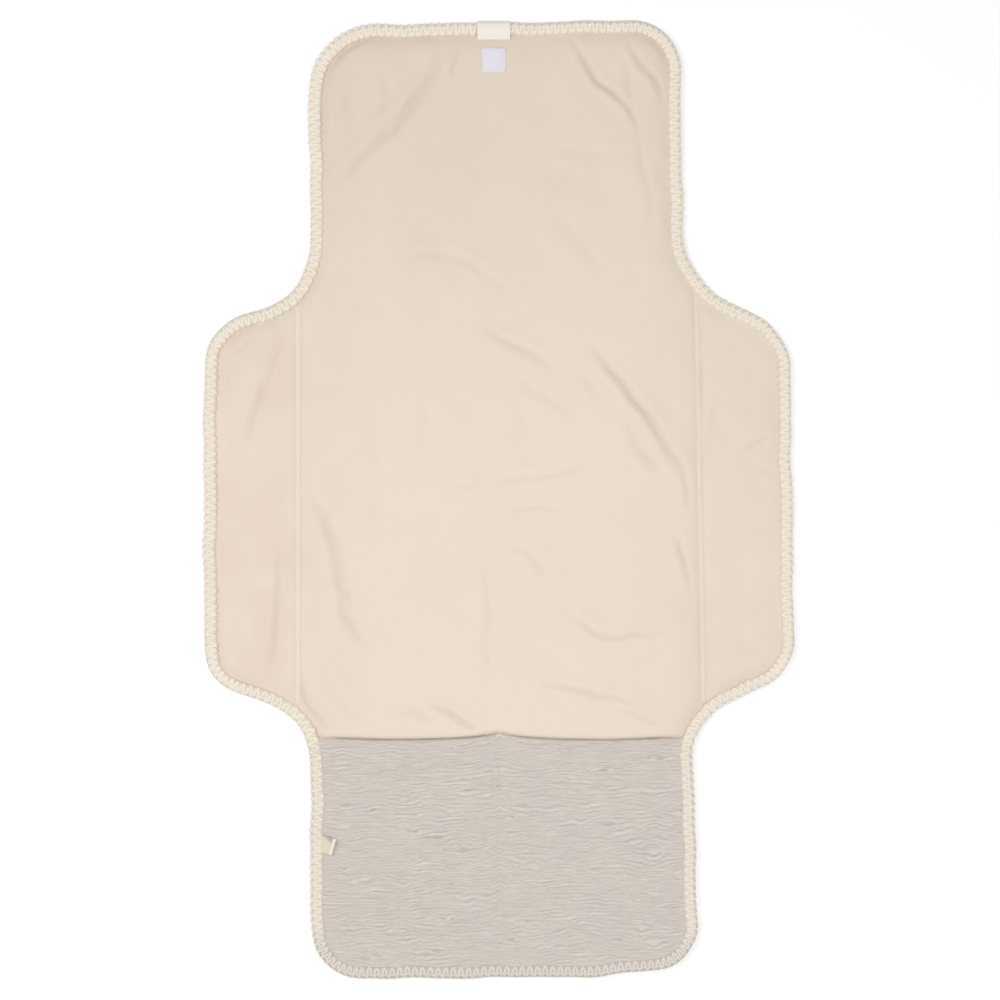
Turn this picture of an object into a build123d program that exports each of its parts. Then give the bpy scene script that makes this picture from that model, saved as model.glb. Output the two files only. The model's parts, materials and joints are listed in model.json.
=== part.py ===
"""Fold-up changing pad: a padded mat with two side wings and a pocket panel at its foot.

Everything is in millimetres. The pad lies flat on a table, with its lining side up.
The origin is the middle of its underside, +Y runs towards the head end and +Z is up.

The cloth of the real pad runs on over every fold. Here each layer is cut along the
fold lines, so that every panel is a rigid body that can turn on its neighbour.
"""
import os

from build123d import *

os.makedirs("parts", exist_ok=True)

# ---------------------------------------------------------------- outline, seen from above
length = 800.0
half_length = length / 2
head_half_width = 156.0
neck_half_width = 157.0         # where the head end runs into the wings
foot_half_width = 161.0
wing_half_width = 246.0

# Corners of the right half: x, y and the radius that rounds the corner.
corners = [
    (head_half_width, half_length, 45.0),
    (neck_half_width, 179.0, 68.0),
    (wing_half_width, 141.0, 48.0),
    (wing_half_width, -151.0, 40.0),
    (foot_half_width, -185.0, 51.0),
    (foot_half_width, -half_length, 48.0),
]

# ---------------------------------------------------------------- folds
section = length / 4            # the pad folds into four equal sections
fold_gap = 0.4                  # clear gap along every fold
half_gap = fold_gap / 2
wing_seam = 168.0               # x of the seam that a wing turns on

# ---------------------------------------------------------------- cloth layers
binding_width = 11.0            # edge binding, seen from above
binding_leaf = 0.8              # one leaf of the folded binding
binding_wall = 1.5              # binding outside the raw edges that it holds
yarn = 1.2                      # looped yarn that stands up on the binding
cloth = 0.8                     # one layer of lining or of muslin
shell_top = 2 * cloth           # outer shell: muslin on its stiffener
lining_top = shell_top + cloth
edge_top = lining_top + binding_leaf + yarn
padding = 2.8                   # batting under the lining
padding_top = shell_top + padding
tray_top = padding_top + cloth  # lining over the batting
tray_inset = binding_width + 2.0
tray_wall = 1.0
tray_round = 1.5
seam_ledge = 3.0                # flat lining between the padding and a wing seam
mouth_ledge = 8.0               # flat lining between the padding and the pocket mouth

# ---------------------------------------------------------------- pocket
facing = 0.5                    # beige facing behind the pocket's muslin front
mouth_gap = 0.8                 # pocket mouth, measured down from the fold line
front_base = lining_top + facing
front_flange_top = front_base + cloth
pocket_edge_top = front_flange_top + binding_leaf + yarn
pocket_depth = 4.8              # clear height inside each compartment
pocket_top = lining_top + pocket_depth + facing + cloth
compartment_side = 136.0        # x of a compartment's outer side
compartment_seam = 5.0          # half the width of the sewn strip between them
compartment_foot = half_length - 14.0
hem_depth = 20.0                # hem stitching below the mouth
hem_shortfall = 8.0             # how much shorter the stitching is than its compartment
front_round = 1.0               # rounding of the front's upper side edges

# ---------------------------------------------------------------- small pieces
thread = 0.6                    # width of a sewn thread
thread_sink = 0.3               # how deep a thread lies in the cloth
thread_rise = 0.4               # how far a thread on a flat seam stands up
thread_from_seam = 1.6          # from a wing seam in to the thread's outer side
patch_size = 20.0
patch_thickness = 1.0
patch_round = 1.0               # corner radius of the loop patch
patch_x = -4.0
loop_patch_y = 367.7
hook_patch_y = loop_patch_y - 2 * section  # where the folded head flap brings it
patch_border = 1.5              # stitching, in from the edge of a patch
label_size = (28.0, 12.5)       # across the pad and along it
label_thickness = 0.6
tab_size = (12.0, 12.0)
tab_thickness = 0.5
tab_start = 0.9                 # gap between the binding and the tab
tab_bend = 0.45                 # radius of the tab's folded end, nearly half its two leaves
tab_y = -292.0
tab_turn = 8.0

# ---------------------------------------------------------------- zones: x low, x high, y low, y high
far = 300.0                     # past the outline on every side
top_end = 2 * section + half_gap
zones = {
    "head": (-far, far, section + half_gap, top_end),
    "upper": (half_gap - wing_seam, wing_seam - half_gap, half_gap, section - half_gap),
    "lower": (half_gap - wing_seam, wing_seam - half_gap, half_gap - section, -half_gap),
    "pocket": (-far, far, -top_end, -section - half_gap),
    "upper_left_wing": (-far, -wing_seam - half_gap, half_gap, section),
    "upper_right_wing": (wing_seam + half_gap, far, half_gap, section),
    "lower_left_wing": (-far, -wing_seam - half_gap, -section, -half_gap),
    "lower_right_wing": (wing_seam + half_gap, far, -section, -half_gap),
}
tray_side = wing_seam - seam_ledge
trays = {
    "head": (-far, far, section + half_gap, top_end),
    "upper": (-tray_side, tray_side, half_gap, section - half_gap),
    "lower": (-tray_side, tray_side, mouth_ledge - section, -half_gap),
}


def outline(inset):
    """The outline of the whole pad, drawn in by an even inset."""
    right = [(x, y) for x, y, radius in corners]
    left = [(-x, y) for x, y in reversed(right)]
    with BuildSketch() as whole:
        with BuildLine():
            Polyline(*right, *left, close=True)
        make_face()
        for x, y, radius in corners:
            pair = whole.vertices().filter_by(lambda v: abs(abs(v.X) - x) + abs(v.Y - y) < 0.1)
            fillet(pair, radius)
        if inset > 0:
            offset(amount=-inset, mode=Mode.REPLACE)
    return whole.sketch


def slab(zone, inset, bottom, top):
    """One flat layer: the inset outline inside a zone, between two heights."""
    x_low, x_high, y_low, y_high = zone
    with BuildPart() as layer:
        with BuildSketch(Plane.XY.offset(bottom)):
            add(outline(inset))
            with Locations(((x_low + x_high) / 2, (y_low + y_high) / 2)):
                Rectangle(x_high - x_low, y_high - y_low, mode=Mode.INTERSECT)
        extrude(amount=top - bottom)
    return layer.part


def shrunk(zone, amount):
    """A zone drawn in on all four sides."""
    x_low, x_high, y_low, y_high = zone
    return (x_low + amount, x_high - amount, y_low + amount, y_high - amount)


def stitch_ring(centre, bottom):
    """The square of sewn thread that holds a patch."""
    side = patch_size - 2 * patch_border
    with BuildPart() as ring:
        with BuildSketch(Plane.XY.offset(bottom)):
            with Locations(centre):
                Rectangle(side, side)
                Rectangle(side - 2 * thread, side - 2 * thread, mode=Mode.SUBTRACT)
        extrude(amount=thread_sink)
    return ring.part


# ---------------------------------------------------------------- outer shells
# The underside of every panel. Its edge steps up into the slot of the binding.
hook_patch_centre = (patch_x, hook_patch_y)
for name, zone in zones.items():
    with BuildPart() as shell:
        add(slab(zone, binding_wall, binding_leaf, shell_top))
        add(slab(zone, binding_width, 0, binding_leaf))
        if name == "lower":
            with Locations((patch_x, hook_patch_y, patch_thickness / 2)):
                Box(patch_size, patch_size, patch_thickness, mode=Mode.SUBTRACT)
    shell.part.label = f"{name}_shell"
    export_step(shell.part, f"parts/{shell.part.label}.step")

# ---------------------------------------------------------------- batting
# A sheet of padding lies on the shell of each middle panel, clear of the lining's walls.
for name, tray in trays.items():
    with BuildPart() as batting:
        add(slab(shrunk(tray, tray_wall), tray_inset + tray_wall, shell_top, padding_top))
    batting.part.label = f"{name}_batting"
    export_step(batting.part, f"parts/{batting.part.label}.step")

# ---------------------------------------------------------------- linings
# Over batting the lining is a shallow tray turned upside down, on a flat flange.
for name, zone in zones.items():
    with BuildPart() as lining:
        if name in trays:
            add(slab(trays[name], tray_inset, shell_top, tray_top))
            fillet(lining.faces().sort_by(Axis.Z)[-1].edges(), tray_round)
        add(slab(zone, binding_wall, shell_top, lining_top))
        if name in trays:
            hollow = slab(shrunk(trays[name], tray_wall), tray_inset + tray_wall, shell_top, padding_top)
            add(hollow, mode=Mode.SUBTRACT)
    lining.part.label = "pocket_base_lining" if name == "pocket" else f"{name}_lining"
    export_step(lining.part, f"parts/{lining.part.label}.step")

# ---------------------------------------------------------------- edge bindings
# A folded tape round the outside edge only, open inwards to hold the raw edges.
for name, zone in zones.items():
    edge_height = pocket_edge_top if name == "pocket" else edge_top
    with BuildPart() as binding:
        add(slab(zone, 0, 0, edge_height))
        slot_top = edge_height - binding_leaf - yarn
        add(slab(zone, binding_wall, binding_leaf, slot_top), mode=Mode.SUBTRACT)
        add(slab(zone, binding_width, 0, edge_height), mode=Mode.SUBTRACT)
    binding.part.label = f"{name}_binding"
    export_step(binding.part, f"parts/{binding.part.label}.step")

# ---------------------------------------------------------------- wing seam threads
# One bead of thread along each wing seam, just inside the panel's edge.
thread_x = wing_seam - thread_from_seam
for name in ("upper", "lower"):
    y_low, y_high = zones[name][2:]
    with BuildPart() as seam_thread:
        for side in (-1, 1):
            edges = sorted((side * thread_x, side * (thread_x - thread)))
            add(slab((*edges, y_low, y_high), binding_width, lining_top, lining_top + thread_rise))
    seam_thread.part.label = f"{name}_seam_thread"
    export_step(seam_thread.part, f"parts/{seam_thread.part.label}.step")


# ---------------------------------------------------------------- pocket front and its facing
def compartments(wall, bottom, top, mouth):
    """The two raised compartments, drawn in by a wall and open at the mouth."""
    x_low = compartment_seam + wall
    x_high = compartment_side - wall
    y_low = -compartment_foot + wall
    with BuildPart() as pair:
        for side in (-1, 1):
            edges = sorted((side * x_low, side * x_high))
            add(slab((*edges, y_low, mouth), tray_inset + wall, bottom, top))
    return pair.part


mouth_y = -section - mouth_gap
hem_y = mouth_y - hem_depth
pocket_zone = (-far, far, -top_end, mouth_y)
facing_top = pocket_top - cloth

with BuildPart() as pocket_hem_thread:
    for side in (-1, 1):
        with Locations((side * (compartment_seam + compartment_side) / 2, hem_y, pocket_top - thread_sink / 2)):
            Box(compartment_side - compartment_seam - hem_shortfall, thread, thread_sink)
pocket_hem_thread.part.label = "pocket_hem_thread"
export_step(pocket_hem_thread.part, "parts/pocket_hem_thread.step")

with BuildPart() as pocket_front:
    add(compartments(0, front_base, pocket_top, mouth_y))
    fillet(pocket_front.faces().filter_by(Axis.Z).sort_by(Axis.Z)[-1].edges().filter_by(Axis.Y), front_round)
    add(slab(pocket_zone, binding_wall, front_base, front_flange_top))
    add(compartments(cloth, front_base, facing_top, mouth_y), mode=Mode.SUBTRACT)
    add(pocket_hem_thread.part, mode=Mode.SUBTRACT)
pocket_front.part.label = "pocket_front"
export_step(pocket_front.part, "parts/pocket_front.step")

with BuildPart() as pocket_facing:
    add(compartments(cloth, lining_top, facing_top, mouth_y))
    add(slab(pocket_zone, binding_wall, lining_top, front_base))
    add(compartments(cloth + facing, lining_top, facing_top - facing, mouth_y), mode=Mode.SUBTRACT)
pocket_facing.part.label = "pocket_facing"
export_step(pocket_facing.part, "parts/pocket_facing.step")

with BuildPart() as pocket_centre_thread:
    centre_strip = (-thread / 2, thread / 2, -half_length, mouth_y)
    add(slab(centre_strip, binding_width, front_flange_top, front_flange_top + thread_rise))
pocket_centre_thread.part.label = "pocket_centre_thread"
export_step(pocket_centre_thread.part, "parts/pocket_centre_thread.step")

# ---------------------------------------------------------------- hook and loop closure
# The loop patch is sewn on the head end's lining, the hook patch flush in the back.
loop_patch_centre = (patch_x, loop_patch_y)
loop_patch_top = tray_top + patch_thickness

with BuildPart() as loop_patch_thread:
    add(stitch_ring(loop_patch_centre, loop_patch_top - thread_sink))
loop_patch_thread.part.label = "loop_patch_thread"
export_step(loop_patch_thread.part, "parts/loop_patch_thread.step")

with BuildPart() as loop_patch:
    with BuildSketch(Plane.XY.offset(tray_top)):
        with Locations(loop_patch_centre):
            RectangleRounded(patch_size, patch_size, patch_round)
    extrude(amount=patch_thickness)
    add(loop_patch_thread.part, mode=Mode.SUBTRACT)
loop_patch.part.label = "loop_patch"
export_step(loop_patch.part, "parts/loop_patch.step")

with BuildPart() as hook_patch_thread:
    add(stitch_ring(hook_patch_centre, 0))
hook_patch_thread.part.label = "hook_patch_thread"
export_step(hook_patch_thread.part, "parts/hook_patch_thread.step")

with BuildPart() as hook_patch:
    with Locations((patch_x, hook_patch_y, patch_thickness / 2)):
        Box(patch_size, patch_size, patch_thickness)
    add(hook_patch_thread.part, mode=Mode.SUBTRACT)
hook_patch.part.label = "hook_patch"
export_step(hook_patch.part, "parts/hook_patch.step")

# ---------------------------------------------------------------- blank label and care tab
# The label lies on the binding at the middle of the head end.
with BuildPart() as top_label:
    with BuildSketch(Plane.XY.offset(edge_top)):
        with Locations((patch_x, half_length - label_size[1] / 2)):
            Rectangle(*label_size)
    extrude(amount=label_thickness)
    with BuildSketch(Plane.XY.offset(lining_top)):
        with Locations((patch_x, half_length - label_size[1] + (label_size[1] - binding_width) / 2)):
            Rectangle(label_size[0], label_size[1] - binding_width)
    extrude(amount=edge_top - lining_top)
top_label.part.label = "top_label"
export_step(top_label.part, "parts/top_label.step")

# The care tab is a short loop of tape: two leaves that meet in a rounded bend.
with BuildPart() as care_tab:
    tab_plane = Plane(
        origin=(-foot_half_width + binding_width, tab_y, front_flange_top),
        x_dir=(1, 0, 0),
        z_dir=(0, 0, 1),
    ).rotated((0, 0, -tab_turn))
    with BuildSketch(tab_plane):
        with Locations((tab_size[0] / 2 + tab_start, 0)):
            Rectangle(*tab_size)
    extrude(amount=2 * tab_thickness)
    bend = care_tab.faces().sort_by(Axis.X)[-1].edges().filter_by(Axis.Z, reverse=True)
    fillet(bend.filter_by(lambda edge: edge.length > tab_size[1] / 2), tab_bend)
care_tab.part.label = "care_tab"
export_step(care_tab.part, "parts/care_tab.step")
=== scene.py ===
# %% [markdown]
# # A fold-up changing pad
# The pad is a flat sandwich of cloth: a smooth wipe-clean lining on top, soft batting under
# its middle, and a crinkled muslin shell below. A looped yarn binding closes the edge, two
# side wings fold in, and a muslin pocket lies across the foot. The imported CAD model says
# where every panel and fold is, so it is loaded first and never changed.

# %% Load the fixed frame
import json
import math

import bpy
import numpy as np
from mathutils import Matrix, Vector
from mathutils.kdtree import KDTree


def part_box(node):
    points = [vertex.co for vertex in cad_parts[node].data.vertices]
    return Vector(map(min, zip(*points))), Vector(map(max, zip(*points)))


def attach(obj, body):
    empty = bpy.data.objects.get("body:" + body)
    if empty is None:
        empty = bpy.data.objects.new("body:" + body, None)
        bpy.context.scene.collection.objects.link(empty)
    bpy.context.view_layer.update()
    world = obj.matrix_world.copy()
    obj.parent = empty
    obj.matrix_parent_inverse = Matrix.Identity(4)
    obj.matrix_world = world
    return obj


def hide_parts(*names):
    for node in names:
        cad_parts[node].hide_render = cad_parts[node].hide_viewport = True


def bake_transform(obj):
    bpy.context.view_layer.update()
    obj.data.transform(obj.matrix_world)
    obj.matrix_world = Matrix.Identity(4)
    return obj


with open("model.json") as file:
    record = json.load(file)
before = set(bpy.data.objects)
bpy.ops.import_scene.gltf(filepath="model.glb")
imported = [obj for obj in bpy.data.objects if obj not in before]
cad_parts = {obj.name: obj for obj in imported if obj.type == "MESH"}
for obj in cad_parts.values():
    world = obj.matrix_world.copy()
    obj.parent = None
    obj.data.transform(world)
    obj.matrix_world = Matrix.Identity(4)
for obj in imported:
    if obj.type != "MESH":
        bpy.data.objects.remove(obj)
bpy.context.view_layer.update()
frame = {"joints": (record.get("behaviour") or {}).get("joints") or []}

MM = 0.001
joints = {joint["name"]: joint for joint in frame["joints"]}
head_fold = joints["head_fold"]["pos_m"][1] / MM
middle_fold = joints["middle_fold"]["pos_m"][1] / MM
pocket_fold = joints["pocket_fold"]["pos_m"][1] / MM
wing_fold = joints["right_wing_fold"]["pos_m"][0] / MM
folds = (head_fold, middle_fold, pocket_fold)
print("folds at", [round(line) for line in folds], "wings at", round(wing_fold))

# %% [markdown]
# ## Camera, light and floor
# A product picture of a flat mat is taken from straight above with a long lens, under a big
# soft light, so nothing leans and no shadow is hard. Two large area lamps and a pale world
# do the same here. One lamp is a little stronger, so that folds in the cloth still read.


# %% The camera, lamps and floor
def aim(thing, target):
    """Turn a lamp or the camera to look at a point."""
    direction = Vector(target) - thing.location
    thing.rotation_euler = direction.to_track_quat("-Z", "Y").to_euler()


view_width = 0.8386              # metres across the view, at the table
view_middle = (0.0013, -0.0013)  # the camera stands a little off the pad's middle
lens = 120.0
sensor = 36.0
camera_height = view_width * lens / sensor
bpy.ops.object.camera_add(location=(*view_middle, camera_height), rotation=(0, 0, 0))
camera = bpy.context.object
camera.data.lens = lens
camera.data.sensor_width = sensor
camera.data.clip_end = 20.0
bpy.context.scene.camera = camera

# name, place, size, power, colour
lamps = [
    ("key_softbox", (-1.9, 0.5, 1.7), 1.0, 19.0, (1.0, 0.99, 0.97)),
    ("fill_softbox", (1.9, -0.8, 2.0), 2.0, 12.0, (0.98, 0.99, 1.0)),
    ("top_softbox", (0.25, -0.6, 3.2), 1.4, 52.0, (1.0, 1.0, 1.0)),
]
for lamp_name, place, size, power, colour in lamps:
    bpy.ops.object.light_add(type="AREA", location=place)
    lamp = bpy.context.object
    lamp.name = lamp_name
    lamp.data.size = size
    lamp.data.energy = power
    lamp.data.color = colour
    aim(lamp, (0, 0, 0))

world = bpy.data.worlds.new("studio")
world.use_nodes = True
sky = world.node_tree.nodes["Background"]
sky.inputs["Color"].default_value = (1.0, 0.995, 0.99, 1)
sky.inputs["Strength"].default_value = 0.42
bpy.context.scene.world = world
bpy.context.scene.view_settings.view_transform = "Standard"

floor_size = 12.0
floor_drop = 0.0004              # just clear of the yarn's lowest loops
bpy.ops.mesh.primitive_plane_add(size=floor_size, location=(0, 0, -floor_drop))
floor = bpy.context.object
floor.name = "floor"
floor_finish = bpy.data.materials.new("pale floor")
floor_finish.use_nodes = True
floor_shader = floor_finish.node_tree.nodes["Principled BSDF"]
floor_shader.inputs["Base Color"].default_value = (0.93, 0.93, 0.93, 1)
floor_shader.inputs["Roughness"].default_value = 0.8
floor.data.materials.append(floor_finish)
print("camera", round(camera.location.z, 3), "m up,", len(lamps), "lamps")

# %% [markdown]
# ## Cloth finishes
# Cloth is never one flat colour. Each finish is built from node groups: a slow drift of tone
# over the whole piece, and one kind of thread, which shades and roughens the surface. The
# threads are a fine weave, spun yarn or muslin's uneven weft. All of them read Object
# coordinates, which hold still on the piece because every piece sits at the origin.


# %% Helpers for node groups and materials
def link(tree, output, socket):
    tree.links.new(output, socket)


def new_group(name, inputs, outputs):
    """A shader node group with named number, colour and vector sockets."""
    group = bpy.data.node_groups.new(name, "ShaderNodeTree")
    for socket_name, kind, default in inputs:
        socket = group.interface.new_socket(socket_name, in_out="INPUT", socket_type=kind)
        socket.default_value = default
    for socket_name, kind in outputs:
        group.interface.new_socket(socket_name, in_out="OUTPUT", socket_type=kind)
    entry = group.nodes.new("NodeGroupInput")
    leave = group.nodes.new("NodeGroupOutput")
    return group, entry, leave


def add_node(tree, kind, **settings):
    """A node with its settings, and its input sockets' values where a setting names one."""
    node = tree.nodes.new(kind)
    for key, value in settings.items():
        if key in node.inputs.keys():
            node.inputs[key].default_value = value
        else:
            setattr(node, key, value)
    return node


def math_node(tree, operation, first, second):
    """A Math node whose two inputs are numbers or sockets."""
    node = tree.nodes.new("ShaderNodeMath")
    node.operation = operation
    for socket, value in zip(node.inputs, (first, second)):
        if isinstance(value, (int, float)):
            socket.default_value = value
        else:
            link(tree, value, socket)
    return node.outputs[0]


def mix_colours(tree, factor, first, second):
    """A colour mix whose inputs are colours or sockets."""
    node = tree.nodes.new("ShaderNodeMix")
    node.data_type = "RGBA"
    sockets = (node.inputs[0], node.inputs[6], node.inputs[7])
    for socket, value in zip(sockets, (factor, first, second)):
        if isinstance(value, bpy.types.NodeSocket):
            link(tree, value, socket)
        else:
            socket.default_value = value
    return node.outputs[2]


def rgb(red, green, blue):
    """A colour as Blender wants it, from the 0 to 255 values of a paint chart."""
    def linear(value):
        share = value / 255
        return share / 12.92 if share <= 0.04045 else ((share + 0.055) / 1.055) ** 2.4
    return (linear(red), linear(green), linear(blue), 1.0)


# %% Node group: slow drift of tone
tone_drift, entry, leave = new_group(
    "Tone drift",
    [("Colour", "NodeSocketColor", (0.8, 0.8, 0.8, 1)),
     ("Other tone", "NodeSocketColor", (0.7, 0.7, 0.7, 1)),
     ("Scale", "NodeSocketFloat", 9.0), ("Amount", "NodeSocketFloat", 0.5)],
    [("Colour", "NodeSocketColor")],
)
place = add_node(tone_drift, "ShaderNodeTexCoord")
cloud = add_node(tone_drift, "ShaderNodeTexNoise", Detail=3.0, Roughness=0.55)
link(tone_drift, place.outputs["Object"], cloud.inputs["Vector"])
link(tone_drift, entry.outputs["Scale"], cloud.inputs["Scale"])
spread = add_node(tone_drift, "ShaderNodeMapRange")
spread.inputs["From Min"].default_value = 0.35
spread.inputs["From Max"].default_value = 0.65
link(tone_drift, cloud.outputs["Fac"], spread.inputs["Value"])
share = math_node(tone_drift, "MULTIPLY", spread.outputs["Result"], entry.outputs["Amount"])
drifted = mix_colours(tone_drift, share, entry.outputs["Colour"], entry.outputs["Other tone"])
link(tone_drift, drifted, leave.inputs["Colour"])

# %% Node group: woven grain
# Warp and weft are two sets of waves at right angles. Noise breaks up their evenness.
woven_grain, entry, leave = new_group(
    "Woven grain",
    [("Threads per metre", "NodeSocketFloat", 1400.0), ("Slub", "NodeSocketFloat", 0.4)],
    [("Height", "NodeSocketFloat"), ("Shade", "NodeSocketFloat")],
)
place = add_node(woven_grain, "ShaderNodeTexCoord")
parts = add_node(woven_grain, "ShaderNodeSeparateXYZ")
link(woven_grain, place.outputs["Object"], parts.inputs[0])
waves = []
for axis in ("X", "Y"):
    threads = entry.outputs["Threads per metre"]
    turns = math_node(woven_grain, "MULTIPLY", parts.outputs[axis], threads)
    turns = math_node(woven_grain, "MULTIPLY", turns, math.tau)
    waves.append(math_node(woven_grain, "SINE", turns, 0.0))
weave = math_node(woven_grain, "MULTIPLY", waves[0], waves[1])
slub = add_node(woven_grain, "ShaderNodeTexNoise", Scale=600.0, Detail=4.0, Roughness=0.7)
link(woven_grain, place.outputs["Object"], slub.inputs["Vector"])
uneven = math_node(woven_grain, "MULTIPLY", slub.outputs["Fac"], entry.outputs["Slub"])
height = math_node(woven_grain, "MULTIPLY", weave, 0.35)
height = math_node(woven_grain, "ADD", height, uneven)
link(woven_grain, height, leave.inputs["Height"])
link(woven_grain, slub.outputs["Fac"], leave.inputs["Shade"])

# %% Node group: spun yarn
# Twisted plies show as short slanting streaks, and loose fibres as fine specks.
spun_yarn, entry, leave = new_group(
    "Spun yarn",
    [("Scale", "NodeSocketFloat", 900.0)],
    [("Height", "NodeSocketFloat"), ("Shade", "NodeSocketFloat")],
)
place = add_node(spun_yarn, "ShaderNodeTexCoord")
slant = add_node(spun_yarn, "ShaderNodeMapping")
slant.inputs["Rotation"].default_value = (0.5, 0.4, 0.7)
slant.inputs["Scale"].default_value = (1.0, 0.3, 1.0)
link(spun_yarn, place.outputs["Object"], slant.inputs["Vector"])
streaks = add_node(spun_yarn, "ShaderNodeTexNoise", Detail=3.0, Roughness=0.6)
link(spun_yarn, slant.outputs["Vector"], streaks.inputs["Vector"])
link(spun_yarn, entry.outputs["Scale"], streaks.inputs["Scale"])
link(spun_yarn, streaks.outputs["Fac"], leave.inputs["Height"])
link(spun_yarn, streaks.outputs["Fac"], leave.inputs["Shade"])


# %% Node group: slubbed weave
# Muslin's soft weft lies in long uneven streaks across the cloth, thick in places and thin in
# others, so its noise is stretched along x. The warp only shows as a faint fine rib.
slubbed_weave, entry, leave = new_group(
    "Slubbed weave",
    [("Fineness", "NodeSocketFloat", 1.0)],
    [("Height", "NodeSocketFloat"), ("Shade", "NodeSocketFloat")],
)
place = add_node(slubbed_weave, "ShaderNodeTexCoord")
streak_layers = []
for stretch in ((55.0, 700.0, 700.0), (160.0, 1500.0, 1500.0)):
    stretched = add_node(slubbed_weave, "ShaderNodeMapping")
    stretched.inputs["Scale"].default_value = stretch
    link(slubbed_weave, place.outputs["Object"], stretched.inputs["Vector"])
    streak = add_node(slubbed_weave, "ShaderNodeTexNoise", Detail=2.0, Roughness=0.6)
    link(slubbed_weave, stretched.outputs["Vector"], streak.inputs["Vector"])
    link(slubbed_weave, entry.outputs["Fineness"], streak.inputs["Scale"])
    streak_layers.append(streak.outputs["Fac"])
streaks = math_node(slubbed_weave, "ADD", streak_layers[0], streak_layers[1])
streaks = math_node(slubbed_weave, "MULTIPLY", streaks, 0.5)
link(slubbed_weave, streaks, leave.inputs["Height"])
link(slubbed_weave, streaks, leave.inputs["Shade"])


# %% A cloth finish from those groups
def cloth_finish(name, colour, other, drift, grain, scale, shade, relief, roughness, sheen):
    """A fabric material: drifting colour, darker between the threads, with a fine relief.

    drift is how many clouds of the other tone a metre holds, grain and scale are the threads
    and their fineness, shade is how much darker the gaps are, and relief is in metres.
    """
    material = bpy.data.materials.new(name)
    material.use_nodes = True
    tree = material.node_tree
    shader = tree.nodes["Principled BSDF"]
    tone = tree.nodes.new("ShaderNodeGroup")
    tone.node_tree = tone_drift
    tone.inputs["Colour"].default_value = colour
    tone.inputs["Other tone"].default_value = other
    tone.inputs["Scale"].default_value = drift
    threads = tree.nodes.new("ShaderNodeGroup")
    threads.node_tree = grain
    threads.inputs[0].default_value = scale
    darker = tuple(channel * (1 - shade) for channel in colour[:3]) + (1.0,)
    depth = add_node(tree, "ShaderNodeMapRange")
    depth.inputs["From Min"].default_value = 0.62
    depth.inputs["From Max"].default_value = 0.3
    link(tree, threads.outputs["Shade"], depth.inputs["Value"])
    base = mix_colours(tree, depth.outputs["Result"], tone.outputs["Colour"], darker)
    link(tree, base, shader.inputs["Base Color"])
    bump = add_node(tree, "ShaderNodeBump", Strength=0.6, Distance=relief)
    link(tree, threads.outputs["Height"], bump.inputs["Height"])
    link(tree, bump.outputs["Normal"], shader.inputs["Normal"])
    rough = add_node(tree, "ShaderNodeMapRange")
    rough.inputs["To Min"].default_value = roughness - 0.06
    rough.inputs["To Max"].default_value = roughness + 0.06
    link(tree, threads.outputs["Shade"], rough.inputs["Value"])
    link(tree, rough.outputs["Result"], shader.inputs["Roughness"])
    shader.inputs["Specular IOR Level"].default_value = 0.25
    shader.inputs["Sheen Weight"].default_value = sheen
    shader.inputs["Sheen Roughness"].default_value = 0.5
    return material


def shade_by_attribute(material, attribute, towards, strength):
    """Turn a finish towards another colour where a piece's own attribute is high."""
    tree = material.node_tree
    shader = tree.nodes["Principled BSDF"]
    colour = shader.inputs["Base Color"].links[0].from_socket
    reader = add_node(tree, "ShaderNodeAttribute", attribute_name=attribute)
    amount = math_node(tree, "MULTIPLY", reader.outputs["Fac"], strength)
    link(tree, mix_colours(tree, amount, colour, towards), shader.inputs["Base Color"])


lining_cloth = cloth_finish("lining cloth", rgb(222, 210, 195), rgb(219, 206, 191), 7.0, woven_grain, 1500.0,
                            0.03, 0.00006, 0.62, 0.08)
# Painted light on the lining: darker and pinker towards its sides and darker at the head end, as
# shade where the light falls off, darker in its folds as painted shade and paler along the welts as
# a painted highlight. The muslin is greyer in its valleys as painted shade.
shade_by_attribute(lining_cloth, "painted_side_shade", rgb(218, 201, 187), 1.0)
shade_by_attribute(lining_cloth, "painted_head_shade", rgb(207, 193, 178), 1.0)
shade_by_attribute(lining_cloth, "fold", rgb(188, 172, 156), 1.0)
shade_by_attribute(lining_cloth, "welt", rgb(232, 221, 206), 1.0)
muslin_cloth = cloth_finish("muslin cloth", rgb(221, 212, 205), rgb(213, 205, 198), 30.0, slubbed_weave, 1.0,
                            0.26, 0.0004, 0.85, 0.15)
shade_by_attribute(muslin_cloth, "valley", rgb(160, 151, 144), 0.75)
yarn_finish = cloth_finish("binding yarn", rgb(232, 223, 209), rgb(228, 217, 202), 40.0, spun_yarn, 1100.0,
                           0.07, 0.0002, 0.85, 0.2)
tape_finish = cloth_finish("binding tape", rgb(226, 215, 200), rgb(222, 211, 196), 40.0, woven_grain, 1200.0,
                           0.06, 0.0002, 0.85, 0.1)
# The tape is painted darker at its rim and underneath as shade, and the binding is greyer where the pocket's
# muslin lies under it.
shade_by_attribute(tape_finish, "rim", rgb(200, 193, 186), 0.55)
shade_by_attribute(yarn_finish, "over_pocket", rgb(214, 206, 199), 0.9)
shade_by_attribute(tape_finish, "over_pocket", rgb(188, 181, 175), 0.9)
batting_finish = cloth_finish("batting fibre", rgb(240, 238, 232), rgb(232, 229, 222), 60.0, spun_yarn, 700.0,
                              0.1, 0.0004, 0.95, 0.2)
label_finish = cloth_finish("woven label", rgb(233, 227, 217), rgb(229, 222, 211), 60.0, woven_grain, 2200.0,
                            0.05, 0.0001, 0.5, 0.1)
tab_finish = cloth_finish("care tab", rgb(219, 206, 188), rgb(212, 198, 180), 90.0, woven_grain, 1900.0,
                          0.07, 0.0001, 0.6, 0.1)
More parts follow.
